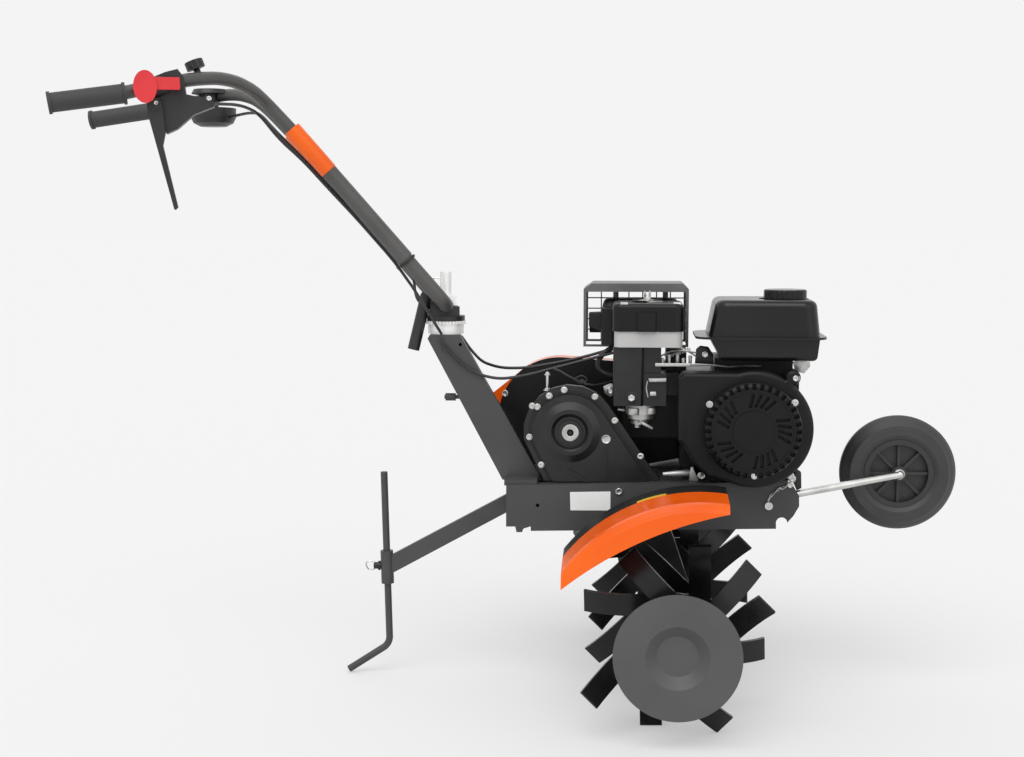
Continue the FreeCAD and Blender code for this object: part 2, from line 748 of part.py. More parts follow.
def make_head():
    seat_x = post_x - bar_back
    cradle_half = 25.0
    base = upright(post_x, 0, 34, ring_top + run_gap, ring_top + 9)
    yoke = fuse([base, box(seat_x - 28, seat_x + 24, -cradle_half, cradle_half, ring_top + 5, bar_z - 1)])
    lobe = across(seat_x - 18, bar_z, 10, -cradle_half, cradle_half)
    yoke = yoke.fuse(lobe)
    tube_room = across(seat_x, bar_z, lower_radius + run_gap, -60, 60)
    saddle = box(seat_x - 19, seat_x + 19, -cradle_half + 3, cradle_half - 3, bar_z + 1, bar_z + 17)
    saddle = saddle.cut(tube_room).cut(yoke)
    post = upright(post_x, 0, 10, bar_z + 16, post_top)
    slot = box(post_x - 2, post_x + 12, -1.8, 1.8, bar_z + 26, post_top - 7)
    shapes["yoke"] = turned(yoke.cut(tube_room).removeSplitter())
    shapes["clamp_post"] = turned(fuse([saddle, post.cut(slot)]))
    top, low = V(post_x - 36, -6, 680), V(post_x - 59, -6, 586)
    grip = rod(top, low, 10.5)
    grip = grip.fuse(Part.makeSphere(10.5, top))
    link = rod(V(seat_x - 20, -6, bar_z + 4), V(post_x - 46, -6, bar_z + 4), 6)
    shapes["clamp_lever"] = turned(fuse([grip, link]).cut(yoke))


# ---------------- handlebar ----------------
def along(distance):
    slope = math.radians(bar_slope)
    return bar_back + distance * math.cos(slope), bar_z + distance * math.sin(slope)


def leg_point(distance, side):
    back, height = along(distance)
    return local(back, side * leg_half, height)


def handle_route(side):
    # From the sleeve up the leg, round the sweep and out to the grip.
    back, height = along(468)
    tip_height = grip_z + grip_skew * side
    return [
        leg_point(lower_end + 4, side),
        local(268, side * leg_half, 968),
        local(back, side * (leg_half + 8), height - 6),
        local(331, side * 92, 1030),
        local(358, side * 135, 1041),
        local(386, side * 168, 1043.5),
        local(424, side * 203, 1038),
        local(475, side * 232, 1026),
        local(530, side * (grip_half - 16), tip_height + 16),
        local(635, side * grip_half, tip_height),
    ]


def grip_ends(side):
    tip = V(handle_route(side)[-1])
    way = tip.sub(handle_route(side)[-2])
    way.normalize()
    return tip.sub(V(way).multiply(grip_length - 4)), tip.add(V(way).multiply(4))


def make_handlebar():
    lower_path = [leg_point(lower_end, 1), local(bar_back, leg_half, bar_z)]
    lower_path += [local(bar_back, -leg_half, bar_z), leg_point(lower_end, -1)]
    shapes["bar_lower"] = turned(tube(lower_path, lower_radius, wall, 26))
    for side, name in ((-1, "right"), (1, "left")):
        path = handle_route(side)
        solid = piped(path, upper_radius)
        shapes["bar_upper_" + name] = turned(solid.cut(piped(path, upper_radius - wall)))
        sleeve = rod(leg_point(sleeve_start, side), leg_point(sleeve_end, side), sleeve_radius)
        sleeve = sleeve.cut(rod(leg_point(sleeve_start - 9, side), leg_point(lower_end, side), lower_radius))
        sleeve = sleeve.cut(solid)
        sleeve = sleeve.common(rod(leg_point(sleeve_start, side), leg_point(sleeve_end, side), sleeve_radius + 1))
        shapes["bar_sleeve_" + name] = turned(sleeve)
        start, end = grip_ends(side)
        way = end.sub(start)
        way.normalize()
        grip = fuse([
            rod(start, end, grip_radius),
            rod(start, start.add(V(way).multiply(4)), grip_radius + 2.2),
            rod(end.sub(V(way).multiply(5)), end, grip_radius + 2.2),
        ])
        shapes["grip_" + name] = turned(grip.cut(solid))


def make_controls():
    tube_room = piped(handle_route(-1), upper_radius)
    nudge = V(-2, 0, -1)
    bracket_points = [
        (481, 1039), (462, 1047), (443, 1052), (434, 1040), (431, 1013), (405, 1008),
        (386, 1001), (388, 994), (420, 981), (445, 959), (462, 951), (482, 993),
    ]
    bracket = plate([(post_x - back, z) for back, z in bracket_points], -232, -206)
    bracket = bracket.fuse(rod(local(500, -239, 1018), local(448, -216, 1031), 16.5))
    bracket.translate(nudge)
    shapes["clutch_bracket"] = turned(bracket.cut(tube_room).removeSplitter())
    lever_points = [(490, 996), (467, 996), (463, 951), (467, 932), (446, 836), (450, 832), (452, 833), (489, 980)]
    lever = plate([(post_x - back, z) for back, z in lever_points], -244, -232)
    pivot = across(post_x - 479, 996, 11, -246, -232)
    lever = lever.fuse(pivot).removeSplitter()
    lever.translate(nudge)
    shapes["clutch_lever"] = turned(lever).cut(shapes["clutch_bracket"])
    pad_centre = V(post_x - 492, -272, 1020)
    pad = Part.Ellipse(pad_centre, 25.0, 18.0).toShape()
    pad.rotate(pad_centre, V(1, 0, 0), 90)
    pad.rotate(pad_centre, V(0, 1, 0), 90)
    button = Part.Face(Part.Wire(pad)).extrude(V(0, 9, 0))
    button = button.fuse(box(post_x - 492, post_x - 440, -266, -259, 1016, 1035))
    button = button.fuse(across(post_x - 447, 1026, 7, -260, -228))
    shapes["stop_lever"] = turned(button.cut(piped(handle_route(-1), upper_radius + 1)).cut(shapes_free("clutch_bracket")))
    left_room = piped(handle_route(1), upper_radius)
    cup = fuse([
        upright(post_x - 409, 175, 41.5, 1003, 1019),
        Part.makeCone(41.5, 36, 11, local(409, 175, 1003), V(0, 0, -1)),
        Part.makeCone(36, 24, 6, local(409, 175, 992), V(0, 0, -1)),
    ])
    top = Part.makeCone(35, 31, 8, local(413, 175, 1045), V(0, 0, 1))
    link = upright(post_x - 411, 175, 12, 1018, 1046)
    shapes["throttle"] = turned(fuse([cup, top, link]).cut(left_room))


def shapes_free(name):
    # A copy of a stored piece, turned back to the straight-ahead handlebar.
    copy = shapes[name].copy()
    copy.rotate(V(post_x, 0, 0), V(0, 0, 1), -bar_turn)
    return copy


def make_cables():
    radius = 2.6
    clutch_upper = [
        local(400, -216, 999), local(352, -130, 1004), local(324, -58, 996), local(290, -46, 953),
        local(250, -46, 917), local(204, -46, 866), local(160, -46, 819), local(94, -46, 743), local(64, -47, 700),
    ]
    throttle_upper = [
        local(384, 160, 1001), local(345, 90, 1006), local(322, 12, 1000), local(296, -26, 968),
        local(250, -36, 922), local(204, -36, 871), local(150, -36, 816), local(92, -36, 752),
    ]
    shapes["clutch_cable_upper"] = turned(piped(clutch_upper, radius)).cut(shapes["clutch_bracket"])
    shapes["throttle_cable_upper"] = turned(piped(throttle_upper, radius)).cut(shapes["throttle"])
    clutch_lower = [
        V(-408, -47, 606), V(-395, -46, 590), V(-372, -46, 565), V(-340, -46, 545), V(-303, -46, 537),
        V(-258, -46, 543), V(-205, -44, 557), V(-150, -42, 572), V(-101, -40, 585),
    ]
    throttle_lower = [
        V(-380, 46, 606), V(-361, 46, 579), V(-340, 32, 560), V(-304, 2, 552),
        V(-256, -14, 554), V(-197, -18, 565), V(-150, -20, 576), V(-101, -22, 591),
    ]
    shapes["clutch_cable_lower"] = piped(clutch_lower, radius).cut(shapes["intake_box"])
    shapes["throttle_cable_lower"] = piped(throttle_lower, radius).cut(shapes["intake_box"])


# ---------------- transport wheel ----------------
def make_wheel():
    half = wheel_width / 2
    hub_side = half + 0.5
    arm_y = -frame_half + arm_in
    path = [V(pivot_x, arm_y, pivot_z), V(pivot_x + 50, arm_y, pivot_z + 18.5), V(wheel_x, -hub_side - 8, wheel_z)]
    arm_rod = piped(path, arm_radius, 20)
    pin = across(wheel_x, wheel_z, axle_radius, -hub_side - 8, hub_side + 8)
    pin = pin.fuse(across(wheel_x, wheel_z, 10, hub_side, hub_side + 8))
    pin = pin.fuse(Part.makeSphere(arm_radius + 0.6, V(wheel_x, -hub_side - 8, wheel_z)))
    pin = pin.fuse(across(wheel_x, wheel_z, 9, -hub_side - 3, -hub_side))
    eye = across(pivot_x, pivot_z, 13, -plate_in + run_gap, -plate_in + 25)
    arm = fuse([arm_rod, pin, eye])
    shapes["wheel_arm"] = arm.cut(across(pivot_x, pivot_z, bolt_radius + pin_gap, -frame_half - 5, -plate_in + 35))
    shapes["pivot_bolt"] = fuse([
        across(pivot_x, pivot_z, bolt_radius, -frame_half, -plate_in + 29),
        across(pivot_x, pivot_z, 6.8, -frame_half - 6, -frame_half),
        across(pivot_x, pivot_z, 10, -plate_in + 25 + run_gap, -plate_in + 33),
    ])
    rim = across(wheel_x, wheel_z, rim_radius, -half + 3, half - 3)
    for y0, y1 in ((-half, -5), (5, half)):
        rim = rim.cut(across(wheel_x, wheel_z, rim_radius - 9, y0, y1))
    spokes = []
    for step in range(8):
        spoke = box(8, rim_radius - 6, -half + 9, half - 9, -2.5, 2.5)
        spoke.rotate(V(0, 0, 0), V(0, 1, 0), 45 * step)
        spoke.translate(V(wheel_x, 0, wheel_z))
        spokes.append(spoke)
    rim = fuse([rim, across(wheel_x, wheel_z, 13, -half, half)] + spokes)
    shapes["wheel_rim"] = rim.cut(across(wheel_x, wheel_z, axle_radius + pin_gap, -half - 5, half + 5))
    side = rim_radius + 0.0
    flat = half - 12
    tread = [
        V(side, -half + 4, 0), V(side + 8, -half, 0), V(wheel_radius - 16, -half, 0),
        V(wheel_radius - 4, -flat, 0), V(wheel_radius, -flat * 0.4, 0), V(wheel_radius, flat * 0.4, 0),
        V(wheel_radius - 4, flat, 0), V(wheel_radius - 16, half, 0), V(side + 8, half, 0), V(side, half - 4, 0),
    ]
    face = Part.Face(Part.makePolygon(tread + [tread[0]]))
    tyre = face.revolve(V(0, 0, 0), V(0, 1, 0), 360)
    tyre.translate(V(wheel_x, 0, wheel_z))
    shapes["tyre"] = tyre


make_rotor()
make_frame()
make_transmission()
make_belt_guard()
make_fenders()
make_spur()
make_engine_block()
make_housing()
make_recoil()
make_tank()
make_intake()
make_muffler()
make_head()
make_handlebar()
make_controls()
make_cables()
make_wheel()

# ---------------- place and store ----------------
boxes = [shape.BoundBox for shape in shapes.values()]
middle_x = (max(b.XMax for b in boxes) + min(b.XMin for b in boxes)) / 2
middle_y = (max(b.YMax for b in boxes) + min(b.YMin for b in boxes)) / 2
move = V(-middle_x, -middle_y, floor_drop)
for name, shape in shapes.items():
    shape.translate(move)
    shape.exportStep("parts/" + name + ".step")
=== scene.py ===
import bpy
import bmesh
import json
import math
from mathutils import Matrix, Vector


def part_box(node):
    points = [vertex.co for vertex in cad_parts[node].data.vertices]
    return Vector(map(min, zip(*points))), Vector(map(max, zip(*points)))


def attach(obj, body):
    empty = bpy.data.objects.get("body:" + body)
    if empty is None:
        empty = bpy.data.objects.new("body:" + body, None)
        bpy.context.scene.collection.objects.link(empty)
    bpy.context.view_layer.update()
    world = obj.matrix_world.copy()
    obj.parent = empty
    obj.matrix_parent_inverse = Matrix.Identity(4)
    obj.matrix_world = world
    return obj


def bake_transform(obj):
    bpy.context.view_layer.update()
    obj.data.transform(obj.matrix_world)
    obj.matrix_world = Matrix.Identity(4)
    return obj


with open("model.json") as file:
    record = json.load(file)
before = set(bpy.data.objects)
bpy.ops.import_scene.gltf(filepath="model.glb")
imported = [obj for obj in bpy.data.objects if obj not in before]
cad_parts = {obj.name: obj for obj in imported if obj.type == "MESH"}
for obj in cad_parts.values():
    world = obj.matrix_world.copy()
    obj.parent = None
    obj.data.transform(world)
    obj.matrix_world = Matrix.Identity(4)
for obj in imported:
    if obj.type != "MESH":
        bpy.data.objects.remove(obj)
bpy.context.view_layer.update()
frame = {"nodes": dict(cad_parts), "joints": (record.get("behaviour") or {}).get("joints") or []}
nodes = frame["nodes"]
joints = {joint["name"]: joint for joint in frame["joints"]}
axle = Vector(joints["rotor_spin"]["pos_m"])
wheelHub = Vector(joints["wheel_spin"]["pos_m"])
print("frame loaded:", len(nodes), "nodes")

barTurn = math.radians(12.8)  # how far the handlebar is swung to the side at rest


def at(x, y, z):
    # millimetres from the machine's datum, 3.5 mm behind the rotor's axle and 10 mm above the floor
    return Vector((axle.x + (x - 3.5) / 1000, axle.y + y / 1000, (z + 10) / 1000))


def onBar(back, right, z):
    # millimetres behind the steering post and to the right of it, as the swung handlebar sees them
    x = -402 - back * math.cos(barTurn) + right * math.sin(barTurn)
    y = -back * math.sin(barTurn) - right * math.cos(barTurn)
    return at(x, y, z)


# ---------- small tools ----------
def clearSelection():
    if bpy.context.mode != "OBJECT":
        bpy.ops.object.mode_set(mode="OBJECT")
    bpy.ops.object.select_all(action="DESELECT")


def pick(piece):
    clearSelection()
    piece.select_set(True)
    bpy.context.view_layer.objects.active = piece
    return piece


def selectParts(piece, kind, test):
    # in edit mode, selects the faces or edges whose middle and normal pass the test
    mesh = bmesh.from_edit_mesh(piece.data)
    for face in mesh.faces:
        face.select = False
    for edge in mesh.edges:
        edge.select = False
    for vert in mesh.verts:
        vert.select = False
    if kind == "faces":
        for face in mesh.faces:
            if test(face.calc_center_median(), face.normal):
                face.select = True
    else:
        for edge in mesh.edges:
            middle = (edge.verts[0].co + edge.verts[1].co) / 2
            if test(middle, (edge.verts[1].co - edge.verts[0].co).normalized()):
                edge.select = True
    bmesh.update_edit_mesh(piece.data)


def editModel(piece, kind):
    pick(piece)
    bpy.ops.object.mode_set(mode="EDIT")
    bpy.ops.mesh.select_mode(type="FACE" if kind == "faces" else "EDGE")


def leaveEdit():
    bpy.ops.object.mode_set(mode="OBJECT")


def addCylinder(radius, depth, sides=32, place=(0, 0, 0)):
    clearSelection()
    bpy.ops.mesh.primitive_cylinder_add(vertices=sides, radius=radius, depth=depth, location=place)
    return bpy.context.object


def addBlock(size, place):
    clearSelection()
    bpy.ops.mesh.primitive_cube_add(size=1, location=place)
    piece = bpy.context.object
    piece.scale = size
    settle(piece)
    return piece


def settle(piece):
    pick(piece)
    bpy.ops.object.transform_apply(location=True, rotation=True, scale=True)
    return piece


def applyModifier(piece, kind, **values):
    pick(piece)
    modifier = piece.modifiers.new(kind.title(), kind)
    for name, value in values.items():
        setattr(modifier, name, value)
    bpy.ops.object.modifier_apply(modifier=modifier.name)


def roundEdges(piece, width, segments=2, angle=35):
    applyModifier(piece, "BEVEL", width=width, segments=segments, limit_method="ANGLE",
                  angle_limit=math.radians(angle), harden_normals=False)
    return piece


def faceAlong(piece, start, direction):
    # lays a piece made along +Z at start, pointing along direction
    turn = Vector(direction).to_track_quat("Z", "Y").to_matrix().to_4x4()
    piece.matrix_world = Matrix.Translation(Vector(start)) @ turn
    return settle(piece)


def copyOf(piece):
    twin = piece.copy()
    twin.data = piece.data.copy()
    bpy.context.scene.collection.objects.link(twin)
    return twin


def joined(pieces, name):
    clearSelection()
    for piece in pieces:
        piece.select_set(True)
    bpy.context.view_layer.objects.active = pieces[0]
    if len(pieces) > 1:
        bpy.ops.object.join()
    piece = bpy.context.object
    piece.name = name
    piece.data.name = name
    return piece


def dressFree(piece, name, look, smooth=35):
    pick(piece)
    piece.name = name
    piece.data.name = name
    bpy.ops.object.shade_smooth_by_angle(angle=math.radians(smooth))
    piece.data.materials.clear()
    piece.data.materials.append(looks[look])
    return piece


def dress(piece, name, body, look, smooth=35):
    dressFree(piece, name, look, smooth)
    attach(piece, body)
    return piece


def tubeAlong(points, radius, name, sides=12, order=3):
    # a smooth round tube that follows a loose line of points
    curve = bpy.data.curves.new(name, "CURVE")
    curve.dimensions = "3D"
    spline = curve.splines.new("NURBS")
    spline.points.add(len(points) - 1)
    for spot, point in zip(spline.points, points):
        spot.co = (point[0], point[1], point[2], 1)
    spline.order_u = order
    spline.use_endpoint_u = True
    spline.resolution_u = 6
    curve.bevel_depth = radius
    curve.bevel_resolution = max(1, sides // 4 - 1)
    curve.use_fill_caps = True
    piece = bpy.data.objects.new(name, curve)
    bpy.context.scene.collection.objects.link(piece)
    pick(piece)
    bpy.ops.object.convert(target="MESH")
    return bpy.context.object


def smoothLine(points, steps=8):
    # a line through all the points, rounded between them
    points = [Vector(point) for point in points]
    ends = [2 * points[0] - points[1]] + points + [2 * points[-1] - points[-2]]
    line = []
    for index in range(1, len(ends) - 2):
        a, b, c, d = ends[index - 1:index + 3]
        for step in range(steps):
            t = step / steps
            curve = (2 * a - 5 * b + 4 * c - d) * t ** 2 + (3 * b - a - 3 * c + d) * t ** 3
            line.append((2 * b + (c - a) * t + curve) / 2)
    line.append(points[-1])
    return line


def coilLine(start, end, radius, turns, perTurn=10):
    # a helix from start to end
    axis = end - start
    side = axis.orthogonal().normalized() * radius
    line = []
    for step in range(turns * perTurn + 1):
        turn = Matrix.Rotation(step * math.tau / perTurn, 3, axis)
        line.append(start + axis * (step / (turns * perTurn)) + turn @ side)
    return line


def addPlate(outline, thickness):
    # a flat plate whose outline is a list of points in one plane, grown by the vector thickness
    clearSelection()
    bpy.ops.mesh.primitive_circle_add(vertices=len(outline), radius=0.01, fill_type="NGON")
    piece = bpy.context.object
    for vert, spot in zip(piece.data.vertices, outline):
        vert.co = spot
    editModel(piece, "faces")
    bpy.ops.mesh.select_all(action="SELECT")
    bpy.ops.mesh.extrude_region_move(TRANSFORM_OT_translate={"value": thickness})
    bpy.ops.mesh.select_all(action="SELECT")
    bpy.ops.mesh.normals_make_consistent(inside=False)
    leaveEdit()
    return piece


def sidePlate(outline, y, thickness):
    # a plate that stands along the machine; its outline is (x, z) pairs at y, and it grows by thickness along Y
    return addPlate([at(x, y, z) for x, z in outline], (0, thickness, 0))


def addRing(outer, inner, depth, sides=48):
    # a flat ring about Z, from z = 0 up to depth
    piece = addCylinder(outer, depth, sides, (0, 0, depth / 2))
    editModel(piece, "faces")
    selectParts(piece, "faces", lambda middle, normal: abs(normal.z) > 0.9)
    bpy.ops.mesh.inset(thickness=outer - inner)
    bpy.ops.mesh.bridge_edge_loops()
    leaveEdit()
    return piece


# ---------- finishes ----------
def newFinish(name, values):
    # colour drifts between two tones, roughness drifts with it, and a fine grain lifts the surface
    material = bpy.data.materials.new(name)
    material.use_nodes = True
    tree = material.node_tree
    add = tree.nodes.new
    link = tree.links.new
    shader = tree.nodes["Principled BSDF"]
    shader.inputs["Metallic"].default_value = values.get("metallic", 0.0)
    shader.inputs["Specular IOR Level"].default_value = values.get("specular", 0.5)
    shader.inputs["Coat Weight"].default_value = values.get("coat", 0.0)
    shader.inputs["Coat Roughness"].default_value = values.get("coatRoughness", 0.1)
    place = add("ShaderNodeTexCoord")
    shift = add("ShaderNodeMapping")
    shift.inputs["Scale"].default_value = values.get("stretch", (1, 1, 1))
    link(place.outputs["Object"], shift.inputs["Vector"])
    patch = add("ShaderNodeTexNoise")
    patch.inputs["Scale"].default_value = values["patch"]
    patch.inputs["Detail"].default_value = 5
    link(shift.outputs["Vector"], patch.inputs["Vector"])
    tones = add("ShaderNodeValToRGB")
    tones.color_ramp.elements[0].position = 0.35
    tones.color_ramp.elements[0].color = (*values["dark"], 1)
    tones.color_ramp.elements[1].position = 0.68
    tones.color_ramp.elements[1].color = (*values["light"], 1)
    link(patch.outputs["Fac"], tones.inputs["Fac"])
    link(tones.outputs["Color"], shader.inputs["Base Color"])
    gloss = add("ShaderNodeMapRange")
    gloss.inputs["From Min"].default_value = 0.3
    gloss.inputs["From Max"].default_value = 0.7
    gloss.inputs["To Min"].default_value = values["rough"][0]
    gloss.inputs["To Max"].default_value = values["rough"][1]
    link(patch.outputs["Fac"], gloss.inputs["Value"])
    link(gloss.outputs["Result"], shader.inputs["Roughness"])
    grain = add("ShaderNodeTexNoise")
    grain.inputs["Scale"].default_value = values["grain"]
    grain.inputs["Detail"].default_value = 3
    link(shift.outputs["Vector"], grain.inputs["Vector"])
    lift = add("ShaderNodeBump")
    lift.inputs["Strength"].default_value = values["bump"]
    lift.inputs["Distance"].default_value = values.get("height", 0.0004)
    height = grain.outputs["Fac"]
    if "rings" in values:  # moulded rings round an axle
        centre, spacing, share = values["rings"]
        turn = add("ShaderNodeMapping")
        turn.vector_type = "POINT"
        turn.inputs["Location"].default_value = (-centre.x, -centre.y, -centre.z)
        link(place.outputs["Object"], turn.inputs["Vector"])
        wave = add("ShaderNodeTexWave")
        wave.wave_type = "RINGS"
        wave.rings_direction = "Y"
        wave.inputs["Scale"].default_value = spacing
        link(turn.outputs["Vector"], wave.inputs["Vector"])
        blend = add("ShaderNodeMix")
        blend.data_type = "FLOAT"
        blend.inputs["Factor"].default_value = share
        link(grain.outputs["Fac"], blend.inputs[2])
        link(wave.outputs["Fac"], blend.inputs[3])
        height = blend.outputs[0]
    link(height, lift.inputs["Height"])
    link(lift.outputs["Normal"], shader.inputs["Normal"])
    return material


finishes = {
    "framePaint": dict(dark=(0.046, 0.046, 0.048), light=(0.066, 0.066, 0.068), patch=6, rough=(0.40, 0.52),
                       grain=900, bump=0.12, specular=0.4),
    "tubePaint": dict(dark=(0.058, 0.057, 0.055), light=(0.080, 0.078, 0.076), patch=8, rough=(0.32, 0.44),
                      grain=1200, bump=0.08),
    "tinePaint": dict(dark=(0.004, 0.004, 0.004), light=(0.010, 0.010, 0.011), patch=14, rough=(0.18, 0.32),
                      grain=260, bump=0.10, specular=0.34),
    "discPaint": dict(dark=(0.066, 0.066, 0.067), light=(0.082, 0.082, 0.083), patch=9, rough=(0.46, 0.58),
                      grain=700, bump=0.10),
    "caseBlack": dict(dark=(0.006, 0.006, 0.007), light=(0.014, 0.014, 0.015), patch=18, rough=(0.26, 0.40),
                      grain=420, bump=0.22, specular=0.42),
    "sheetBlack": dict(dark=(0.006, 0.006, 0.006), light=(0.010, 0.010, 0.010), patch=8, rough=(0.30, 0.44),
                       grain=900, bump=0.08, specular=0.25),
    "castMetal": dict(dark=(0.42, 0.42, 0.41), light=(0.62, 0.62, 0.61), patch=40, rough=(0.36, 0.54),
                      grain=700, bump=0.35, metallic=0.85),
    "orangePlastic": dict(dark=(0.80, 0.098, 0.001), light=(0.92, 0.138, 0.001), patch=4,
                          rough=(0.20, 0.30), grain=500, bump=0.04,
                          specular=0.25, coat=0.2, coatRoughness=0.10),
    "engineBlack": dict(dark=(0.004, 0.004, 0.004), light=(0.008, 0.008, 0.009), patch=16,
                        rough=(0.34, 0.52), grain=380, bump=0.28, specular=0.24),
    "recoilBlack": dict(dark=(0.004, 0.004, 0.004), light=(0.007, 0.007, 0.008), patch=10,
                        rough=(0.26, 0.38), grain=900, bump=0.10, specular=0.2),
    "tankBlack": dict(dark=(0.004, 0.004, 0.005), light=(0.009, 0.009, 0.010), patch=6, rough=(0.18, 0.28),
                      grain=700, bump=0.06, specular=0.34),
    "cleanerBlack": dict(dark=(0.005, 0.005, 0.005), light=(0.009, 0.009, 0.010), patch=9,
                         rough=(0.28, 0.40), grain=800, bump=0.12, specular=0.25),
    "cleanerGrey": dict(dark=(0.44, 0.44, 0.44), light=(0.54, 0.54, 0.53), patch=10, rough=(0.40, 0.52),
                        grain=800, bump=0.10),
    "zinc": dict(dark=(0.46, 0.46, 0.45), light=(0.68, 0.68, 0.66), patch=30, rough=(0.22, 0.38), grain=900,
                 bump=0.10, metallic=1.0),
    "whiteZinc": dict(dark=(0.86, 0.86, 0.85), light=(0.95, 0.95, 0.94), patch=30, rough=(0.30, 0.44),
                      grain=900, bump=0.10, metallic=0.2),
    "guardGrey": dict(dark=(0.11, 0.11, 0.11), light=(0.15, 0.15, 0.15), patch=20, rough=(0.34, 0.48),
                      grain=700, bump=0.12, metallic=0.3),
    "brightSteel": dict(dark=(0.42, 0.42, 0.41), light=(0.62, 0.62, 0.60), patch=60, rough=(0.26, 0.42),
                        grain=1200, bump=0.12, metallic=1.0),
    "gripRubber": dict(dark=(0.030, 0.030, 0.032), light=(0.042, 0.042, 0.044), patch=20,
                       rough=(0.55, 0.72), grain=900, bump=0.30),
    "tyreRubber": dict(dark=(0.024, 0.024, 0.025), light=(0.036, 0.036, 0.037), patch=16,
                       rough=(0.42, 0.56), grain=800, bump=0.35,
                       rings=(wheelHub, 42.0, 0.55), height=0.0007),
    "rimPlastic": dict(dark=(0.016, 0.016, 0.017), light=(0.024, 0.024, 0.025), patch=14,
                       rough=(0.36, 0.50), grain=900, bump=0.12),
    "controlBlack": dict(dark=(0.009, 0.009, 0.010), light=(0.016, 0.016, 0.017), patch=20,
                         rough=(0.34, 0.48), grain=1100, bump=0.14),
    "stopRed": dict(dark=(0.60, 0.010, 0.018), light=(0.70, 0.018, 0.026), patch=10, rough=(0.24, 0.34),
                    grain=700, bump=0.05, coat=0.3),
    "cableBlack": dict(dark=(0.010, 0.010, 0.011), light=(0.018, 0.018, 0.019), patch=30,
                       rough=(0.36, 0.50), grain=1500, bump=0.15),
    "plateWhite": dict(dark=(0.84, 0.84, 0.83), light=(0.92, 0.92, 0.91), patch=12, rough=(0.30, 0.40),
                       grain=900, bump=0.04),
    "plateYellow": dict(dark=(0.62, 0.42, 0.02), light=(0.72, 0.50, 0.03), patch=12, rough=(0.34, 0.44),
                        grain=900, bump=0.04),
    "wireWhite": dict(dark=(0.55, 0.55, 0.54), light=(0.66, 0.66, 0.64), patch=20, rough=(0.35, 0.45),
                      grain=900, bump=0.06),
    "pulleyMetal": dict(dark=(0.012, 0.012, 0.013), light=(0.022, 0.022, 0.023), patch=20,
                        rough=(0.35, 0.50), grain=500, bump=0.15),
    "mufflerBlack": dict(dark=(0.010, 0.010, 0.010), light=(0.018, 0.017, 0.017), patch=20,
                         rough=(0.40, 0.58), grain=420, bump=0.22),
}
looks = {name: newFinish(name, values) for name, values in finishes.items()}

nodeLooks = {
    "framePaint": ["frame_right", "frame_left", "engine_deck", "rear_bridge", "column", "spur_arm",
                   "spur_rod"],
    "tubePaint": ["bar_lower", "bar_upper_right", "bar_upper_left", "bar_sleeve_right", "bar_sleeve_left"],
    "tinePaint": ["tines_outer_right", "tines_middle_right", "tines_inner_right",
                  "tines_outer_left", "tines_middle_left", "tines_inner_left", "rotor_shaft"],
    "discPaint": ["disc_right", "disc_left"],
    "caseBlack": ["gear_case", "case_cover", "chain_case", "intake_box"],
    "sheetBlack": ["belt_backing", "fender_inner_right", "fender_inner_left"],
    "orangePlastic": ["belt_guard", "fender_right", "fender_left"],
    "pulleyMetal": ["belt_pulley"],
    "engineBlack": ["engine_block", "blower_housing"],
    "recoilBlack": ["recoil_cover"],
    "tankBlack": ["fuel_tank", "tank_cap"],
    "cleanerBlack": ["air_cleaner"],
    "cleanerGrey": ["air_cleaner_base"],
    "castMetal": ["carburettor"],
    "mufflerBlack": ["muffler"],
    "guardGrey": ["muffler_guard"],
    "whiteZinc": ["clamp_ring", "clamp_post"],
    "zinc": ["wheel_arm", "pivot_bolt"],
    "controlBlack": ["yoke", "clamp_lever", "clutch_bracket", "clutch_lever", "throttle"],
    "stopRed": ["stop_lever"],
    "gripRubber": ["grip_right", "grip_left"],
    "rimPlastic": ["wheel_rim"],
    "tyreRubber": ["tyre"],
    "cableBlack": ["clutch_cable_upper", "clutch_cable_lower", "throttle_cable_upper",
                   "throttle_cable_lower"],
}
for look, names in nodeLooks.items():
    for name in names:
        nodes[name].data.materials.clear()
        nodes[name].data.materials.append(looks[look])
print("finishes made:", len(looks))

# ---------- camera ----------
camera = {
    "eye": (-75.2, -2710.4, 814.8),
    "left": 4.396,
    "down": 5.909,
    "lens": 53.73,
}
bpy.ops.object.camera_add(location=at(*camera["eye"]),
                          rotation=(math.radians(90 - camera["down"]), 0, math.radians(camera["left"])))
viewCamera = bpy.context.object
viewCamera.data.sensor_width = 36
viewCamera.data.lens = camera["lens"]
viewCamera.data.clip_end = 60
bpy.context.scene.camera = viewCamera
print("camera placed")

# ---------- floor, backdrop and light ----------
studio = {
    "floorColour": (0.853, 0.853, 0.853),
    "backdrop": (0.905, 0.905, 0.905),
    "floorGlow": 0.4,  # share of the floor that is plain backdrop colour as the camera sees it
    "worldStrength": 0.55,
    "keySun": 1.5,
    "fillSun": 0.45,
    "backSun": 0.35,
}


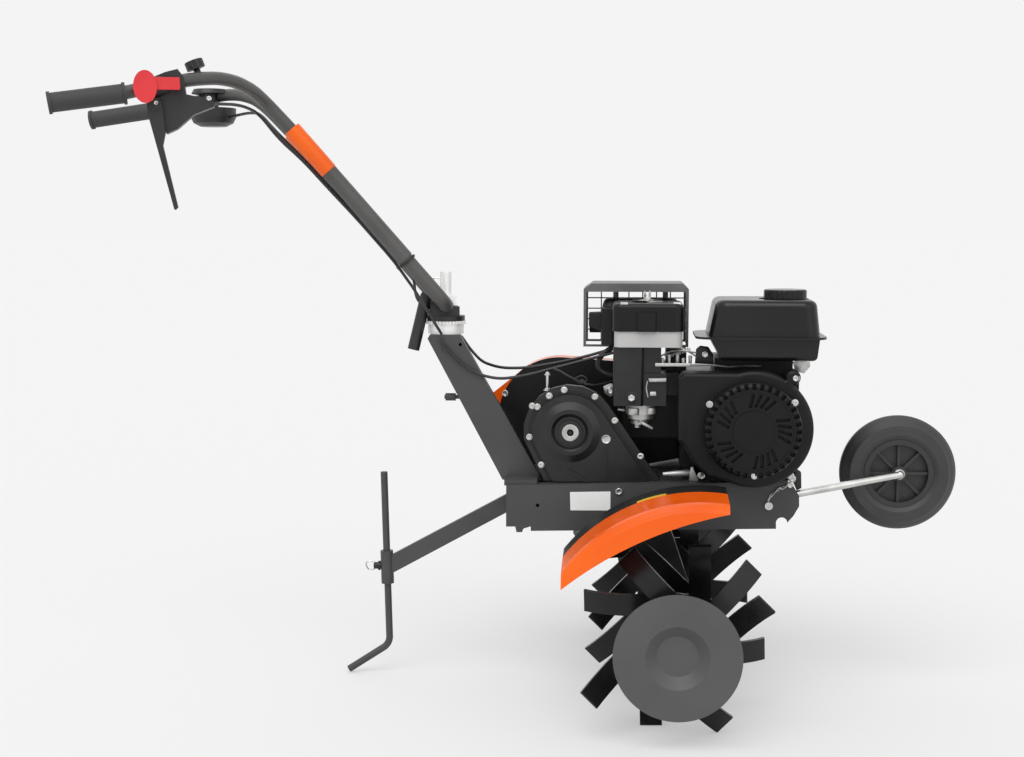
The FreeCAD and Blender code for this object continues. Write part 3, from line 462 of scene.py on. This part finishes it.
def paleFinish(name, colour, backdrop, glow):
    # a matt floor that keeps its shadows and fades into the backdrop's colour
    material = bpy.data.materials.new(name)
    material.use_nodes = True
    tree = material.node_tree
    shader = tree.nodes["Principled BSDF"]
    shader.inputs["Roughness"].default_value = 0.9
    shader.inputs["Specular IOR Level"].default_value = 0.0
    shader.inputs["Base Color"].default_value = (*colour, 1)
    plain = tree.nodes.new("ShaderNodeEmission")
    plain.inputs["Color"].default_value = (*backdrop, 1)
    plain.inputs["Strength"].default_value = 1.0
    rays = tree.nodes.new("ShaderNodeLightPath")
    share = tree.nodes.new("ShaderNodeMath")
    share.operation = "MULTIPLY"
    share.inputs[1].default_value = glow
    tree.links.new(rays.outputs["Is Camera Ray"], share.inputs[0])
    mixed = tree.nodes.new("ShaderNodeMixShader")
    tree.links.new(share.outputs[0], mixed.inputs[0])
    tree.links.new(shader.outputs[0], mixed.inputs[1])
    tree.links.new(plain.outputs[0], mixed.inputs[2])
    tree.links.new(mixed.outputs[0], tree.nodes["Material Output"].inputs["Surface"])
    return material


clearSelection()
bpy.ops.mesh.primitive_plane_add(size=400, location=(0, 0, 0))
floor = bpy.context.object
floor.name = "studioFloor"
floorLook = paleFinish("paleFloor", studio["floorColour"], studio["backdrop"], studio["floorGlow"])
floor.data.materials.append(floorLook)

world = bpy.data.worlds.new("paleRoom")
bpy.context.scene.world = world
world.use_nodes = True
worldTree = world.node_tree
background = worldTree.nodes["Background"]
background.inputs["Color"].default_value = (1, 1, 1, 1)
background.inputs["Strength"].default_value = studio["worldStrength"]
seen = worldTree.nodes.new("ShaderNodeBackground")
seen.inputs["Color"].default_value = (*studio["backdrop"], 1)
seen.inputs["Strength"].default_value = 1.0
rays = worldTree.nodes.new("ShaderNodeLightPath")
either = worldTree.nodes.new("ShaderNodeMath")
either.operation = "MAXIMUM"
worldTree.links.new(rays.outputs["Is Camera Ray"], either.inputs[0])
worldTree.links.new(rays.outputs["Is Glossy Ray"], either.inputs[1])
anyRay = worldTree.nodes.new("ShaderNodeMath")
anyRay.operation = "MAXIMUM"
worldTree.links.new(either.outputs[0], anyRay.inputs[0])
worldTree.links.new(rays.outputs["Is Transmission Ray"], anyRay.inputs[1])
mixed = worldTree.nodes.new("ShaderNodeMixShader")
worldTree.links.new(anyRay.outputs[0], mixed.inputs[0])
worldTree.links.new(background.outputs[0], mixed.inputs[1])
worldTree.links.new(seen.outputs[0], mixed.inputs[2])
worldTree.links.new(mixed.outputs[0], worldTree.nodes["World Output"].inputs["Surface"])


def softSun(name, direction, width, power):
    clearSelection()
    bpy.ops.object.light_add(type="SUN", location=(0, 0, 3))
    lamp = bpy.context.object
    lamp.name = name
    lamp.data.angle = math.radians(width)
    lamp.data.energy = power
    lamp.rotation_euler = Vector(direction).to_track_quat("-Z", "Y").to_euler()
    return lamp


softSun("keySun", (0.25, 0.75, -1.0), 50, studio["keySun"])
softSun("fillSun", (-0.7, 0.9, -0.5), 60, studio["fillSun"])
softSun("backSun", (0.1, -0.8, -1.0), 60, studio["backSun"])
bpy.context.scene.view_settings.view_transform = "Standard"
print("room and lamps ready")


# ---------- bolts ----------
def boltHead(across, height, flange=1.35):
    head = addCylinder(across / 2, height, 6, (0, 0, height / 2))
    editModel(head, "faces")
    selectParts(head, "faces", lambda middle, normal: normal.z > 0.9)
    bpy.ops.mesh.inset(thickness=across * 0.10, depth=height * 0.10)
    bpy.ops.mesh.inset(thickness=across * 0.05, depth=-height * 0.06)
    leaveEdit()
    roundEdges(head, across * 0.035, 2)
    washer = addCylinder(across / 2 * flange, height * 0.28, 28, (0, 0, height * 0.14))
    roundEdges(washer, height * 0.07, 2)
    return joined([head, washer], "boltHead")


def scatterBolts(name, spots, across, height, direction, body, look, flange=1.35):
    master = boltHead(across, height, flange)
    copies = []
    for spot in spots:
        twin = copyOf(master)
        faceAlong(twin, spot, direction)
        copies.append(twin)
    bpy.data.objects.remove(master)
    return dress(joined(copies, name), name, body, look)


def onFace(node, spots, low=True):
    # the spots are (x, z) pairs on the outer face of a CAD node
    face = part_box(node)[0].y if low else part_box(node)[1].y
    return [Vector((at(x, 0, z).x, face, at(x, 0, z).z)) for x, z in spots]


caseBolts = {
    "rim": [(-213, 511.5), (-187, 522), (-233.4, 492), (-242.5, 493.5), (-247.5, 439), (-226.6, 390),
            (-133.6, 510.5), (-98.8, 469), (-53.9, 407)],
    "across": 0.0105, "depth": 0.004, "face": -76,
    "plug": (-113.6, 437), "plugFace": -79, "plugRadius": 0.0078, "plugHigh": 0.004,
}
scatterBolts("caseBolts", [at(x, caseBolts["face"], z) for x, z in caseBolts["rim"]],
             caseBolts["across"], caseBolts["depth"], (0, -1, 0), "chassis", "zinc", 1.1)

plug = addCylinder(caseBolts["plugRadius"], caseBolts["plugHigh"], 40)
editModel(plug, "faces")
selectParts(plug, "faces", lambda middle, normal: normal.z > 0.9)
bpy.ops.mesh.inset(thickness=0.0016)
bpy.ops.mesh.inset(thickness=0.0006, depth=-0.0006)
leaveEdit()
roundEdges(plug, 0.0005, 2)
faceAlong(plug, at(caseBolts["plug"][0], caseBolts["plugFace"], caseBolts["plug"][1]), (0, -1, 0))
dress(plug, "casePlug", "chassis", "zinc")

hub = {"centre": (-175.5, 449), "ring": 0.0147, "bore": 0.0058, "face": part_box("case_cover")[0].y}
hubSpot = Vector((at(hub["centre"][0], 0, 0).x, hub["face"] + 0.0015, at(0, 0, hub["centre"][1]).z))
hubRing = addRing(hub["ring"], hub["bore"], 0.0035)
roundEdges(hubRing, 0.0006, 2)
faceAlong(hubRing, hubSpot, (0, -1, 0))
dress(hubRing, "hubRing", "chassis", "zinc")
hubScrew = addCylinder(hub["bore"] * 1.02, 0.003, 28, (0, 0, 0.0015))
editModel(hubScrew, "faces")
selectParts(hubScrew, "faces", lambda middle, normal: normal.z > 0.9)
bpy.ops.mesh.inset(thickness=0.0026)
bpy.ops.mesh.inset(thickness=0.0004, depth=-0.0016)
leaveEdit()
faceAlong(hubScrew, hubSpot, (0, -1, 0))
dress(hubScrew, "hubScrew", "chassis", "caseBlack")

stud = {"x": -216.9, "y": -60, "low": 519, "top": 552, "radius": 0.0026}
shank = addCylinder(stud["radius"], (stud["top"] - stud["low"]) / 1000, 20)
roundEdges(shank, 0.0004, 2)
faceAlong(shank, at(stud["x"], stud["y"], (stud["top"] + stud["low"]) / 2), (0, 0, 1))
studHead = faceAlong(boltHead(0.0095, 0.004, 1.2), at(stud["x"], stud["y"], stud["top"] - 4), (0, 0, 1))
studFoot = faceAlong(boltHead(0.0105, 0.004, 1.3), at(stud["x"], stud["y"], stud["low"] + 2), (0, 0, 1))
dress(joined([shank, studHead, studFoot], "caseStud"), "caseStud", "chassis", "zinc")
print("gear case trimmed")

engineBolts = {"recoil": [(58.2, 512), (198, 516), (133.8, 393)], "recoilAcross": 0.0085,
               "ear": [(201.6, 553)], "across": 0.011, "depth": 0.006}
scatterBolts("recoilBolts", [at(x, -183, z) for x, z in engineBolts["recoil"]],
             engineBolts["recoilAcross"], engineBolts["depth"] * 0.5, (0, -1, 0), "chassis", "zinc")
scatterBolts("housingBolts", onFace("blower_housing", engineBolts["ear"]),
             engineBolts["across"], engineBolts["depth"], (0, -1, 0), "chassis", "zinc")
plateBolts = {"right": [(-90.7, 348.5)], "left": [(-90.7, 348.5), (166, 327)], "guard": (-306, 492),
              "across": 0.0135, "depth": 0.007}
scatterBolts("plateBolts", onFace("frame_right", plateBolts["right"]),
             plateBolts["across"], plateBolts["depth"], (0, -1, 0), "chassis", "zinc", 1.4)
scatterBolts("plateBoltsLeft", onFace("frame_left", plateBolts["left"], False),
             plateBolts["across"], plateBolts["depth"], (0, 1, 0), "chassis", "zinc", 1.4)
scatterBolts("guardBolt", [at(plateBolts["guard"][0], 0, plateBolts["guard"][1])
                           + Vector((0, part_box("belt_guard")[0].y - axle.y, 0))],
             plateBolts["across"], plateBolts["depth"], (0, -1, 0), "chassis", "zinc", 1.3)
emboss = {"spot": (-399, 587.5), "radius": 0.0068, "lift": 0.0018}
stamp = addRing(emboss["radius"], emboss["radius"] - 0.0018, emboss["lift"], 36)
roundEdges(stamp, 0.0003, 2)
faceAlong(stamp, at(emboss["spot"][0], -40, emboss["spot"][1]), (0, -1, 0))
dress(stamp, "columnRing", "chassis", "framePaint")
print("bolts placed")

# ---------- air cleaner ----------
wing = {"x": -44.3, "y": -48, "seat": 673.5, "plateRadius": 0.026, "nut": 0.0062, "turn": math.radians(55),
        "ear": [(0.0040, 0.002), (0.0095, 0.005), (0.0100, 0.013), (0.0078, 0.0155), (0.0052, 0.0135),
                (0.0040, 0.008)],
        "earThick": 0.0016, "dishAbove": 1.5, "nutAbove": 4.5}
nutFoot = at(wing["x"], wing["y"], wing["seat"] + wing["nutAbove"])
dish = addCylinder(wing["plateRadius"], 0.002, 56, (0, 0, 0.001))
editModel(dish, "faces")
selectParts(dish, "faces", lambda middle, normal: normal.z > 0.9)
bpy.ops.mesh.inset(thickness=0.006)
bpy.ops.mesh.inset(thickness=0.010, depth=0.0022)
leaveEdit()
roundEdges(dish, 0.0004, 2, 20)
faceAlong(dish, at(wing["x"], wing["y"], wing["seat"] + wing["dishAbove"]), (0, 0, 1))
nut = addCylinder(wing["nut"], 0.010, 28, (0, 0, 0.005))
editModel(nut, "faces")
selectParts(nut, "faces", lambda middle, normal: normal.z > 0.9)
bpy.ops.mesh.inset(thickness=0.0018)
bpy.ops.mesh.extrude_region_move(TRANSFORM_OT_translate={"value": (0, 0, 0.0035)})
leaveEdit()
roundEdges(nut, 0.0008, 2)
parts = [dish, faceAlong(nut, nutFoot, (0, 0, 1))]
for side in (-1, 1):
    ear = addPlate([Vector((side * across, wing["earThick"] / 2, high)) for across, high in wing["ear"]],
                   (0, -wing["earThick"], 0))
    roundEdges(ear, 0.0004, 2)
    ear.matrix_world = Matrix.Translation(nutFoot) @ Matrix.Rotation(wing["turn"], 4, "Z")
    parts.append(settle(ear))
dress(joined(parts, "wingNut"), "wingNut", "chassis", "zinc")

clips = {"spots": [(-84, -92, 673), (6, -88, 673)], "size": (0.013, 0.020, 0.005)}
parts = []
for x, y, z in clips["spots"]:
    clip = addBlock(clips["size"], at(x, y, z))
    editModel(clip, "faces")
    selectParts(clip, "faces", lambda middle, normal: normal.z > 0.9)
    bpy.ops.mesh.inset(thickness=0.003, depth=-0.0012)
    leaveEdit()
    parts.append(roundEdges(clip, 0.0007, 2))
dress(joined(parts, "cleanerClips"), "cleanerClips", "chassis", "zinc")

snout = {"size": (0.026, 0.036, 0.036), "middle": (-133, -22, 637), "narrower": (1, 0.8, 0.66),
         "lift": 0.005}
mouth = addBlock(snout["size"], at(*snout["middle"]))
editModel(mouth, "faces")
selectParts(mouth, "faces", lambda middle, normal: normal.x < -0.9)
bpy.ops.transform.resize(value=snout["narrower"])
bpy.ops.transform.translate(value=(0, 0, snout["lift"]))
bpy.ops.mesh.inset(thickness=0.003)
bpy.ops.mesh.extrude_region_move(TRANSFORM_OT_translate={"value": (0.010, 0, 0)})
leaveEdit()
roundEdges(mouth, 0.003, 3)
dress(mouth, "cleanerSnout", "chassis", "cleanerBlack")
print("air cleaner trimmed")

# ---------- governor linkage ----------
governor = {
    "tray": (0.060, 0.026, 0.0018), "trayMiddle": (0.5, -71, 566), "trayLip": 0.004,
    "rod": 0.0016, "spring": [(-14, -70, 580), (30, -70, 594)],
    "coil": 0.0034, "springWire": 0.0007, "turns": 11,
    "posts": [(-18, -72, 567, 12, 3.2), (-6, -76, 567, 18, 2.6), (8, -68, 567, 20, 3.6),
              (18, -76, 567, 12, 2.8), (30, -70, 567, 16, 3.0)],
    "rods": [[(-34, -74, 571), (-10, -75, 588), (14, -74, 592), (40, -72, 588)],
             [(-26, -80, 569), (20, -80, 569), (60, -80, 568), (92, -80, 565), (120, -78, 566),
              (150, -74, 566)],
             [(8, -70, 598), (26, -70, 590), (46, -70, 578)]],
}
trayMiddle = at(*governor["trayMiddle"])
tray = addBlock(governor["tray"], trayMiddle)
editModel(tray, "faces")
selectParts(tray, "faces", lambda middle, normal: normal.y < -0.9 or normal.x < -0.9)
bpy.ops.mesh.extrude_region_move(TRANSFORM_OT_translate={"value": (-0.001, -0.001, 0)})
selectParts(tray, "faces", lambda middle, normal: normal.z > 0.9 and middle.y < trayMiddle.y - 0.0125)
bpy.ops.mesh.extrude_region_move(TRANSFORM_OT_translate={"value": (0, 0, governor["trayLip"])})
leaveEdit()
roundEdges(tray, 0.0005, 2)
parts = [tray]
for x, y, z, high, radius in governor["posts"]:
    post = addCylinder(radius / 1000, high / 1000, 20)
    roundEdges(post, 0.0004, 2)
    parts.append(faceAlong(post, at(x, y, z + high / 2), (0, 0, 1)))
    parts.append(faceAlong(boltHead(radius * 2.3 / 1000, 0.003, 1.2), at(x, y, z + high - 2), (0, 0, 1)))
for points in governor["rods"]:
    parts.append(tubeAlong(smoothLine([at(*point) for point in points]), governor["rod"], "rod", 8))
springLine = coilLine(*[at(*end) for end in governor["spring"]], governor["coil"], governor["turns"])
parts.append(tubeAlong(springLine, governor["springWire"], "spring", 8))
dress(joined(parts, "governorLinkage"), "governorLinkage", "chassis", "castMetal")

governorArm = {"outline": [(38, 566), (71, 566), (69, 586), (61, 598), (47, 600), (40, 594)], "y": -62,
               "thick": 0.010, "nut": (55.2, -72, 585.5), "nutAcross": 0.012, "nutHigh": 0.006}
lever = sidePlate(governorArm["outline"], governorArm["y"], -governorArm["thick"])
roundEdges(lever, 0.0015, 2)
dress(lever, "governorBracket", "chassis", "caseBlack")
scatterBolts("governorNut", [at(*governorArm["nut"])], governorArm["nutAcross"], governorArm["nutHigh"],
             (0, -1, 0), "chassis", "zinc", 1.2)

tankMount = {"bracket": [(206, 572), (236, 578), (236, 564), (226, 552), (211, 556)],
             "strip": [(156, 566), (172, 568), (186, 563), (184, 559), (158, 562)]}
tankBracket = sidePlate(tankMount["bracket"], -58, 0.0025)
roundEdges(tankBracket, 0.0005, 2)
strip = sidePlate(tankMount["strip"], -60, 0.002)
dress(joined([tankBracket, strip], "tankBrackets"), "tankBrackets", "chassis", "brightSteel")
print("governor linkage made")

# ---------- carburettor, plug and wiring ----------
carburettor = {"drums": [(-66, -74, 480, 492, 12), (-37, -72, 481, 492, 9)], "bowlNut": (-59.8, -68, 467),
               "drain": (-43, -72, 460.5), "drainRadius": 0.0030, "drainLong": 0.022,
               "inlet": (-88, -62, 487), "inletRadius": 0.0035, "inletLong": 0.012}
parts = []
for x, y, low, high, radius in carburettor["drums"]:
    drum = addCylinder(radius / 1000, (high - low) / 1000, 32)
    roundEdges(drum, 0.0012, 2)
    parts.append(faceAlong(drum, at(x, y, (high + low) / 2), (0, 0, 1)))
parts.append(faceAlong(boltHead(0.009, 0.004, 1.1), at(*carburettor["bowlNut"]), (0, 0, -1)))
drain = addCylinder(carburettor["drainRadius"], carburettor["drainLong"], 20)
roundEdges(drain, 0.0008, 2)
parts.append(faceAlong(drain, at(*carburettor["drain"]), at(-34, -72, 455) - at(-52, -72, 465)))
inlet = addCylinder(carburettor["inletRadius"], carburettor["inletLong"], 20)
roundEdges(inlet, 0.0006, 2)
parts.append(faceAlong(inlet, at(*carburettor["inlet"]), (-1, 0, 0.2)))
dress(joined(parts, "carburettorTrim"), "carburettorTrim", "chassis", "castMetal")

choke = {"wedge": [(-42, 545), (-11, 545.5), (-11, 539.5), (-40, 539)], "wedgeY": -95,
         "low": [(-39, 522), (-28, 522), (-28, 515), (-39, 515)], "lowY": -94, "thick": 0.010,
         "rod": [(-43, -95, 541), (-45, -95, 528), (-42, -95, 513)], "rodRadius": 0.0012}
wedge = sidePlate(choke["wedge"], choke["wedgeY"], choke["thick"])
lowBlock = sidePlate(choke["low"], choke["lowY"], choke["thick"])
rodLine = smoothLine([at(*point) for point in choke["rod"]])
parts = [roundEdges(wedge, 0.0008, 2), roundEdges(lowBlock, 0.0012, 2),
         tubeAlong(rodLine, choke["rodRadius"], "chokeRod", 8)]
dress(joined(parts, "chokeLever"), "chokeLever", "chassis", "castMetal")

intake = {"x": -70.3, "z": 511.3, "washerY": -95.0, "screwY": -96.2, "washer": 0.0112, "across": 0.0125}
intakeWasher = addCylinder(intake["washer"], 0.003, 36)
roundEdges(intakeWasher, 0.0008, 2)
faceAlong(intakeWasher, at(intake["x"], intake["washerY"], intake["z"]), (0, -1, 0))
dress(intakeWasher, "intakeWasher", "chassis", "caseBlack")
scatterBolts("intakeScrew", [at(intake["x"], intake["screwY"], intake["z"])], intake["across"], 0.005,
             (0, -1, 0), "chassis", "zinc", 1.15)

leads = {
    "plugLead": (0.0050, [(-94, -34, 597), (-107, -32, 591), (-123, -31, 579), (-129, -30, 565),
                          (-126, -29, 553), (-113, -28, 546), (-96, -26, 543)]),
    "sensorWire": (0.0017, [(-206, -62, 558), (-196, -68, 555), (-183, -72, 548), (-166, -74, 540),
                            (-152, -72, 534), (-134, -66, 530), (-117, -48, 531), (-104, -36, 534)]),
    "groundWire": (0.0013, [(-206, -58, 556), (-190, -66, 552), (-172, -70, 541), (-158, -72, 533),
                            (-148, -72, 540), (-156, -74, 547), (-170, -72, 541)]),
}
for name, (radius, points) in leads.items():
    lead = tubeAlong(smoothLine([at(*point) for point in points]), radius, name, 12)
    dress(lead, name, "chassis", "cableBlack")

plugMount = {"outline": [(-120, 524), (-118, 512), (-110, 506), (-100, 508), (-98, 524), (-106, 530)],
             "y": -34, "thick": 0.004, "plug": (-108.2, -34, 517.6), "across": 0.0125, "high": 0.010}
tag = sidePlate(plugMount["outline"], plugMount["y"], plugMount["thick"])
roundEdges(tag, 0.0008, 2)
dress(tag, "plugBracket", "chassis", "brightSteel")
scatterBolts("sparkPlug", [at(*plugMount["plug"])], plugMount["across"], plugMount["high"],
             (0, -1, 0), "chassis", "zinc", 1.3)

loom = {"outer": 0.0052, "inner": 0.0036, "wide": 0.003, "spot": (-158.5, -72, 537),
        "tail": [(-157, 538), (-149, 530), (-147, 532), (-155, 541)], "tailThick": 0.0012}
tie = addRing(loom["outer"], loom["inner"], loom["wide"], 24)
faceAlong(tie, at(*loom["spot"]), (1, 0, -0.6))
tail = sidePlate(loom["tail"], -75, loom["tailThick"])
dress(joined([tie, tail], "loomTie"), "loomTie", "chassis", "controlBlack")
print("carburettor, plug and wiring done")

# ---------- under the engine ----------
drainTube = {"radius": 0.0065, "long": 0.044, "taper": 0.55, "middle": (7, -68, 376.5), "thick": 0.012,
             "foot": [(30, 364.5), (46.5, 365), (41, 380), (37, 390), (33, 388)], "footY": -74}
spout = addCylinder(drainTube["radius"], drainTube["long"], 28)
editModel(spout, "faces")
selectParts(spout, "faces", lambda middle, normal: normal.z < -0.9)
bpy.ops.transform.resize(value=(drainTube["taper"], drainTube["taper"], 1))
selectParts(spout, "faces", lambda middle, normal: normal.z > 0.9)
bpy.ops.mesh.inset(thickness=0.001)
bpy.ops.mesh.extrude_region_move(TRANSFORM_OT_translate={"value": (0, 0, 0.005)})
leaveEdit()
roundEdges(spout, 0.0006, 2)
faceAlong(spout, at(*drainTube["middle"]), (1, 0, 0.06))
foot = sidePlate(drainTube["foot"], drainTube["footY"], drainTube["thick"])
roundEdges(foot, 0.0008, 2)
dress(joined([spout, foot], "drainSpout"), "drainSpout", "chassis", "castMetal")
deckBolts = {"spots": [(50.2, -94, 377), (203, -92, 378)], "across": 0.011, "high": 0.008}
scatterBolts("deckBolts", [at(*spot) for spot in deckBolts["spots"]], deckBolts["across"], deckBolts["high"],
             (0, -1, 0), "chassis", "zinc", 1.2)

frontClip = {"bracket": [(211, 391), (221, 385), (222, 357), (214, 353), (208, 367)], "wire": 0.0011,
             "bracketY": -88, "thick": 0.012, "nuts": [(206.3, -90, 373.3), (202, -92, 363)],
             "first": [(199, 368), (194, 363), (186, 360), (181, 354), (174, 352), (169, 347), (165, 338)],
             "second": [(197, 364), (188, 357), (182, 359), (175, 350), (168, 342), (164, 335)]}
tab = sidePlate(frontClip["bracket"], frontClip["bracketY"], frontClip["thick"])
roundEdges(tab, 0.001, 2)
dress(tab, "frontTab", "chassis", "caseBlack")
scatterBolts("frontNuts", [at(*spot) for spot in frontClip["nuts"]], 0.0105, 0.006,
             (0, -1, 0), "chassis", "zinc", 1.15)
wire = smoothLine([at(x, -98, z) for x, z in frontClip["first"]])
other = smoothLine([at(x, -99, z) for x, z in frontClip["second"]])
parts = [tubeAlong(wire, frontClip["wire"], "clipWire", 8),
         tubeAlong(other, frontClip["wire"], "clipWire", 8)]
dress(joined(parts, "springClip"), "springClip", "chassis", "brightSteel")

label = {"corners": [(-175.5, 346.3), (-105.4, 348.2), (-105.4, 314.9), (-174.5, 314.2)],
         "thick": 0.0006, "proud": 0.0005}
labelPlate = sidePlate(label["corners"], 0, label["thick"])
labelPlate.location.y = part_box("frame_right")[0].y - at(0, 0, 0).y - label["proud"]
settle(labelPlate)
dress(labelPlate, "labelPlate", "chassis", "plateWhite")
print("frame trimmed")

# ---------- handlebar ----------
band = {"from": 206, "to": 268, "radius": 0.0153, "slope": math.radians(49.0)}


def legPoint(back, right):
    # a point on the leg's own centre line, back millimetres behind the post
    return onBar(back, right, 664 + (back - 2) * math.tan(band["slope"]))


bands = []
for right in (52, -52):
    start, end = legPoint(band["from"], right), legPoint(band["to"], right)
    ring = addCylinder(band["radius"], (end - start).length, 40)
    roundEdges(ring, 0.0016, 3)
    faceAlong(ring, (start + end) / 2, end - start)
    bands.append(ring)
dress(joined(bands, "handleBands"), "handleBands", "handlebar", "orangePlastic")

ties = {"spots": [(72, 52)], "radius": 0.0162, "thick": 0.0014, "wide": 0.0042, "head": (0.006, 0.005, 0.007),
        "headBelow": 12}
parts = []
for back, right in ties["spots"]:
    middle = legPoint(back, right)
    along = (legPoint(back + 10, right) - middle).normalized()
    loop = addRing(ties["radius"], ties["radius"] - ties["thick"], ties["wide"], 40)
    parts.append(faceAlong(loop, middle, along))
    head = addBlock(ties["head"], (0, 0, 0))
    editModel(head, "faces")
    selectParts(head, "faces", lambda middle, normal: normal.x > 0.9)
    bpy.ops.mesh.inset(thickness=0.001)
    bpy.ops.mesh.extrude_region_move(TRANSFORM_OT_translate={"value": (0.003, 0, 0)})
    leaveEdit()
    roundEdges(head, 0.0006, 2)
    headHeight = 664 + (back - 2) * math.tan(band["slope"]) - ties["headBelow"]
    parts.append(faceAlong(head, onBar(back + 16, right - 2, headHeight), along))
dress(joined(parts, "cableTies"), "cableTies", "handlebar", "controlBlack")

knob = {"back": 420.9, "right": 185, "z": 1061.9, "radius": 0.0150, "high": 0.0135, "sides": 28,
        "fluteEvery": 4, "stem": 0.0055, "stemLong": 0.020}
cap = addCylinder(knob["radius"], knob["high"], knob["sides"])
editModel(cap, "faces")
sideStep = math.tau / knob["sides"]
selectParts(cap, "faces", lambda middle, normal: abs(normal.z) < 0.1
            and round(math.atan2(normal.y, normal.x) / sideStep) % knob["fluteEvery"] == 0)
bpy.ops.mesh.inset(thickness=0.0008, depth=-0.0012, use_individual=True)
selectParts(cap, "faces", lambda middle, normal: normal.z > 0.9)
bpy.ops.mesh.inset(thickness=0.003)
bpy.ops.transform.translate(value=(0, 0, 0.001))
leaveEdit()
roundEdges(cap, 0.0022, 3)
knobTop = onBar(knob["back"], knob["right"], knob["z"])
knobFoot = onBar(knob["back"] - 6, knob["right"], knob["z"] - 16)
faceAlong(cap, knobTop, knobTop - knobFoot)
stem = addCylinder(knob["stem"], knob["stemLong"], 24)
roundEdges(stem, 0.001, 2)
faceAlong(stem, knobFoot, knobTop - knobFoot)
dress(joined([cap, stem], "handleKnob"), "handleKnob", "handlebar", "controlBlack")

screws = {"spots": [(478.1, 246.5, 997.2), (397.4, 232.5, 1005.5)], "across": 0.0075, "high": 0.003}
bracketScrews = [onBar(*spot) for spot in screws["spots"]]
swingAside = (math.sin(barTurn), -math.cos(barTurn), 0)
scatterBolts("bracketScrews", bracketScrews, screws["across"], screws["high"],
             swingAside, "handlebar", "zinc", 1.1)
print("handlebar trimmed")

# ---------- steering head ----------
teeth = []
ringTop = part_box("clamp_ring")[1].z
postFoot = Vector((at(-402, 0, 0).x, at(0, 0, 0).y, 0))
toothed = {"teeth": 36, "size": (0.0060, 0.0034, 0.0060), "radius": 0.0325}
for step in range(toothed["teeth"]):
    turn = step * math.tau / toothed["teeth"]
    tooth = addBlock(toothed["size"], (toothed["radius"], 0, ringTop - toothed["size"][2] / 2))
    roundEdges(tooth, 0.0006, 1)
    tooth.matrix_world = Matrix.Translation(postFoot) @ Matrix.Rotation(turn, 4, "Z")
    settle(tooth)
    teeth.append(tooth)
dress(joined(teeth, "steeringTeeth"), "steeringTeeth", "chassis", "whiteZinc")

post = {"hook": [(-426, 709), (-420, 713), (-410, 712)], "hookY": -4, "wire": 0.0013}
hookWire = tubeAlong(smoothLine([at(x, post["hookY"], z) for x, z in post["hook"]]), post["wire"],
                     "postHook", 8)
dress(hookWire, "postHook", "steering_head", "brightSteel")
print("steering head done")

# ---------- cable runs past the steering head ----------
runRadius = 0.0026
runs = {
    "clutchRun": [onBar(94, 46, 743), onBar(64, 47, 700), onBar(36, 49, 655), onBar(22, 50, 631),
                  at(-404, -47, 615), at(-395, -46, 590)],
    "throttleRun": [onBar(150, 36, 816), onBar(92, 36, 752), onBar(62, 30, 716), onBar(44, -30, 668),
                    at(-392, 50, 622), at(-380, 46, 606)],
}
for name, points in runs.items():
    line = smoothLine(points, 10)
    upper, lower = line[10:31], line[30:41]
    piece = tubeAlong(upper, runRadius, name + "Upper", 12)
    dressFree(piece, name + "Upper", "cableBlack")
    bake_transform(piece)
    piece = tubeAlong(lower, runRadius, name + "Lower", 12)
    dressFree(piece, name + "Lower", "cableBlack")
    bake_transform(piece)
print("cable runs done")

# ---------- spur clip and fender trim -----------------
spurPin = {"z": 189, "bolt": 0.0062, "clip": 0.0014,
           "loop": [(-534, -5, 196), (-541, -7, 198.5), (-549, -5, 195), (-550, 0, 188), (-547, 5, 181),
                    (-539, 6, 180), (-534, 3, 183)]}
bolt = addCylinder(spurPin["bolt"], 0.016, 32)
roundEdges(bolt, 0.001, 2)
faceAlong(bolt, at(-528, 0, spurPin["z"]), (-1, 0, 0))
collar = addCylinder(spurPin["bolt"] * 1.4, 0.004, 32)
roundEdges(collar, 0.0008, 2)
faceAlong(collar, at(-526, 0, spurPin["z"]), (-1, 0, 0))
dress(joined([bolt, collar], "spurPin"), "spurPin", "chassis", "caseBlack")
clipLine = smoothLine([at(*point) for point in spurPin["loop"]])
dress(tubeAlong(clipLine, spurPin["clip"], "spurClip", 10), "spurClip", "chassis", "zinc")

stripe = {"first": 101.7, "last": 111.6, "radius": 0.2775, "outer": 312, "steps": 8,
          "arcMiddle": (41.3, 111.2), "wide": 0.0016, "thick": 0.012}
spots = []
arcMiddle = at(stripe["arcMiddle"][0], 0, stripe["arcMiddle"][1])
stripeFace = at(0, -stripe["outer"], 0).y
for step in range(stripe["steps"] + 1):
    turn = math.radians(stripe["first"] + step * (stripe["last"] - stripe["first"]) / stripe["steps"])
    spots.append((arcMiddle.x + stripe["radius"] * math.cos(turn),
                  arcMiddle.z + stripe["radius"] * math.sin(turn)))
upperEdge = [Vector((x, stripeFace, z)) for x, z in spots]
lowerEdge = [Vector((x, stripeFace, z - stripe["wide"])) for x, z in reversed(spots)]
mark = addPlate(upperEdge + lowerEdge, (0, stripe["thick"], 0))
dress(mark, "fenderStripe", "chassis", "plateYellow")
print("small trim done")
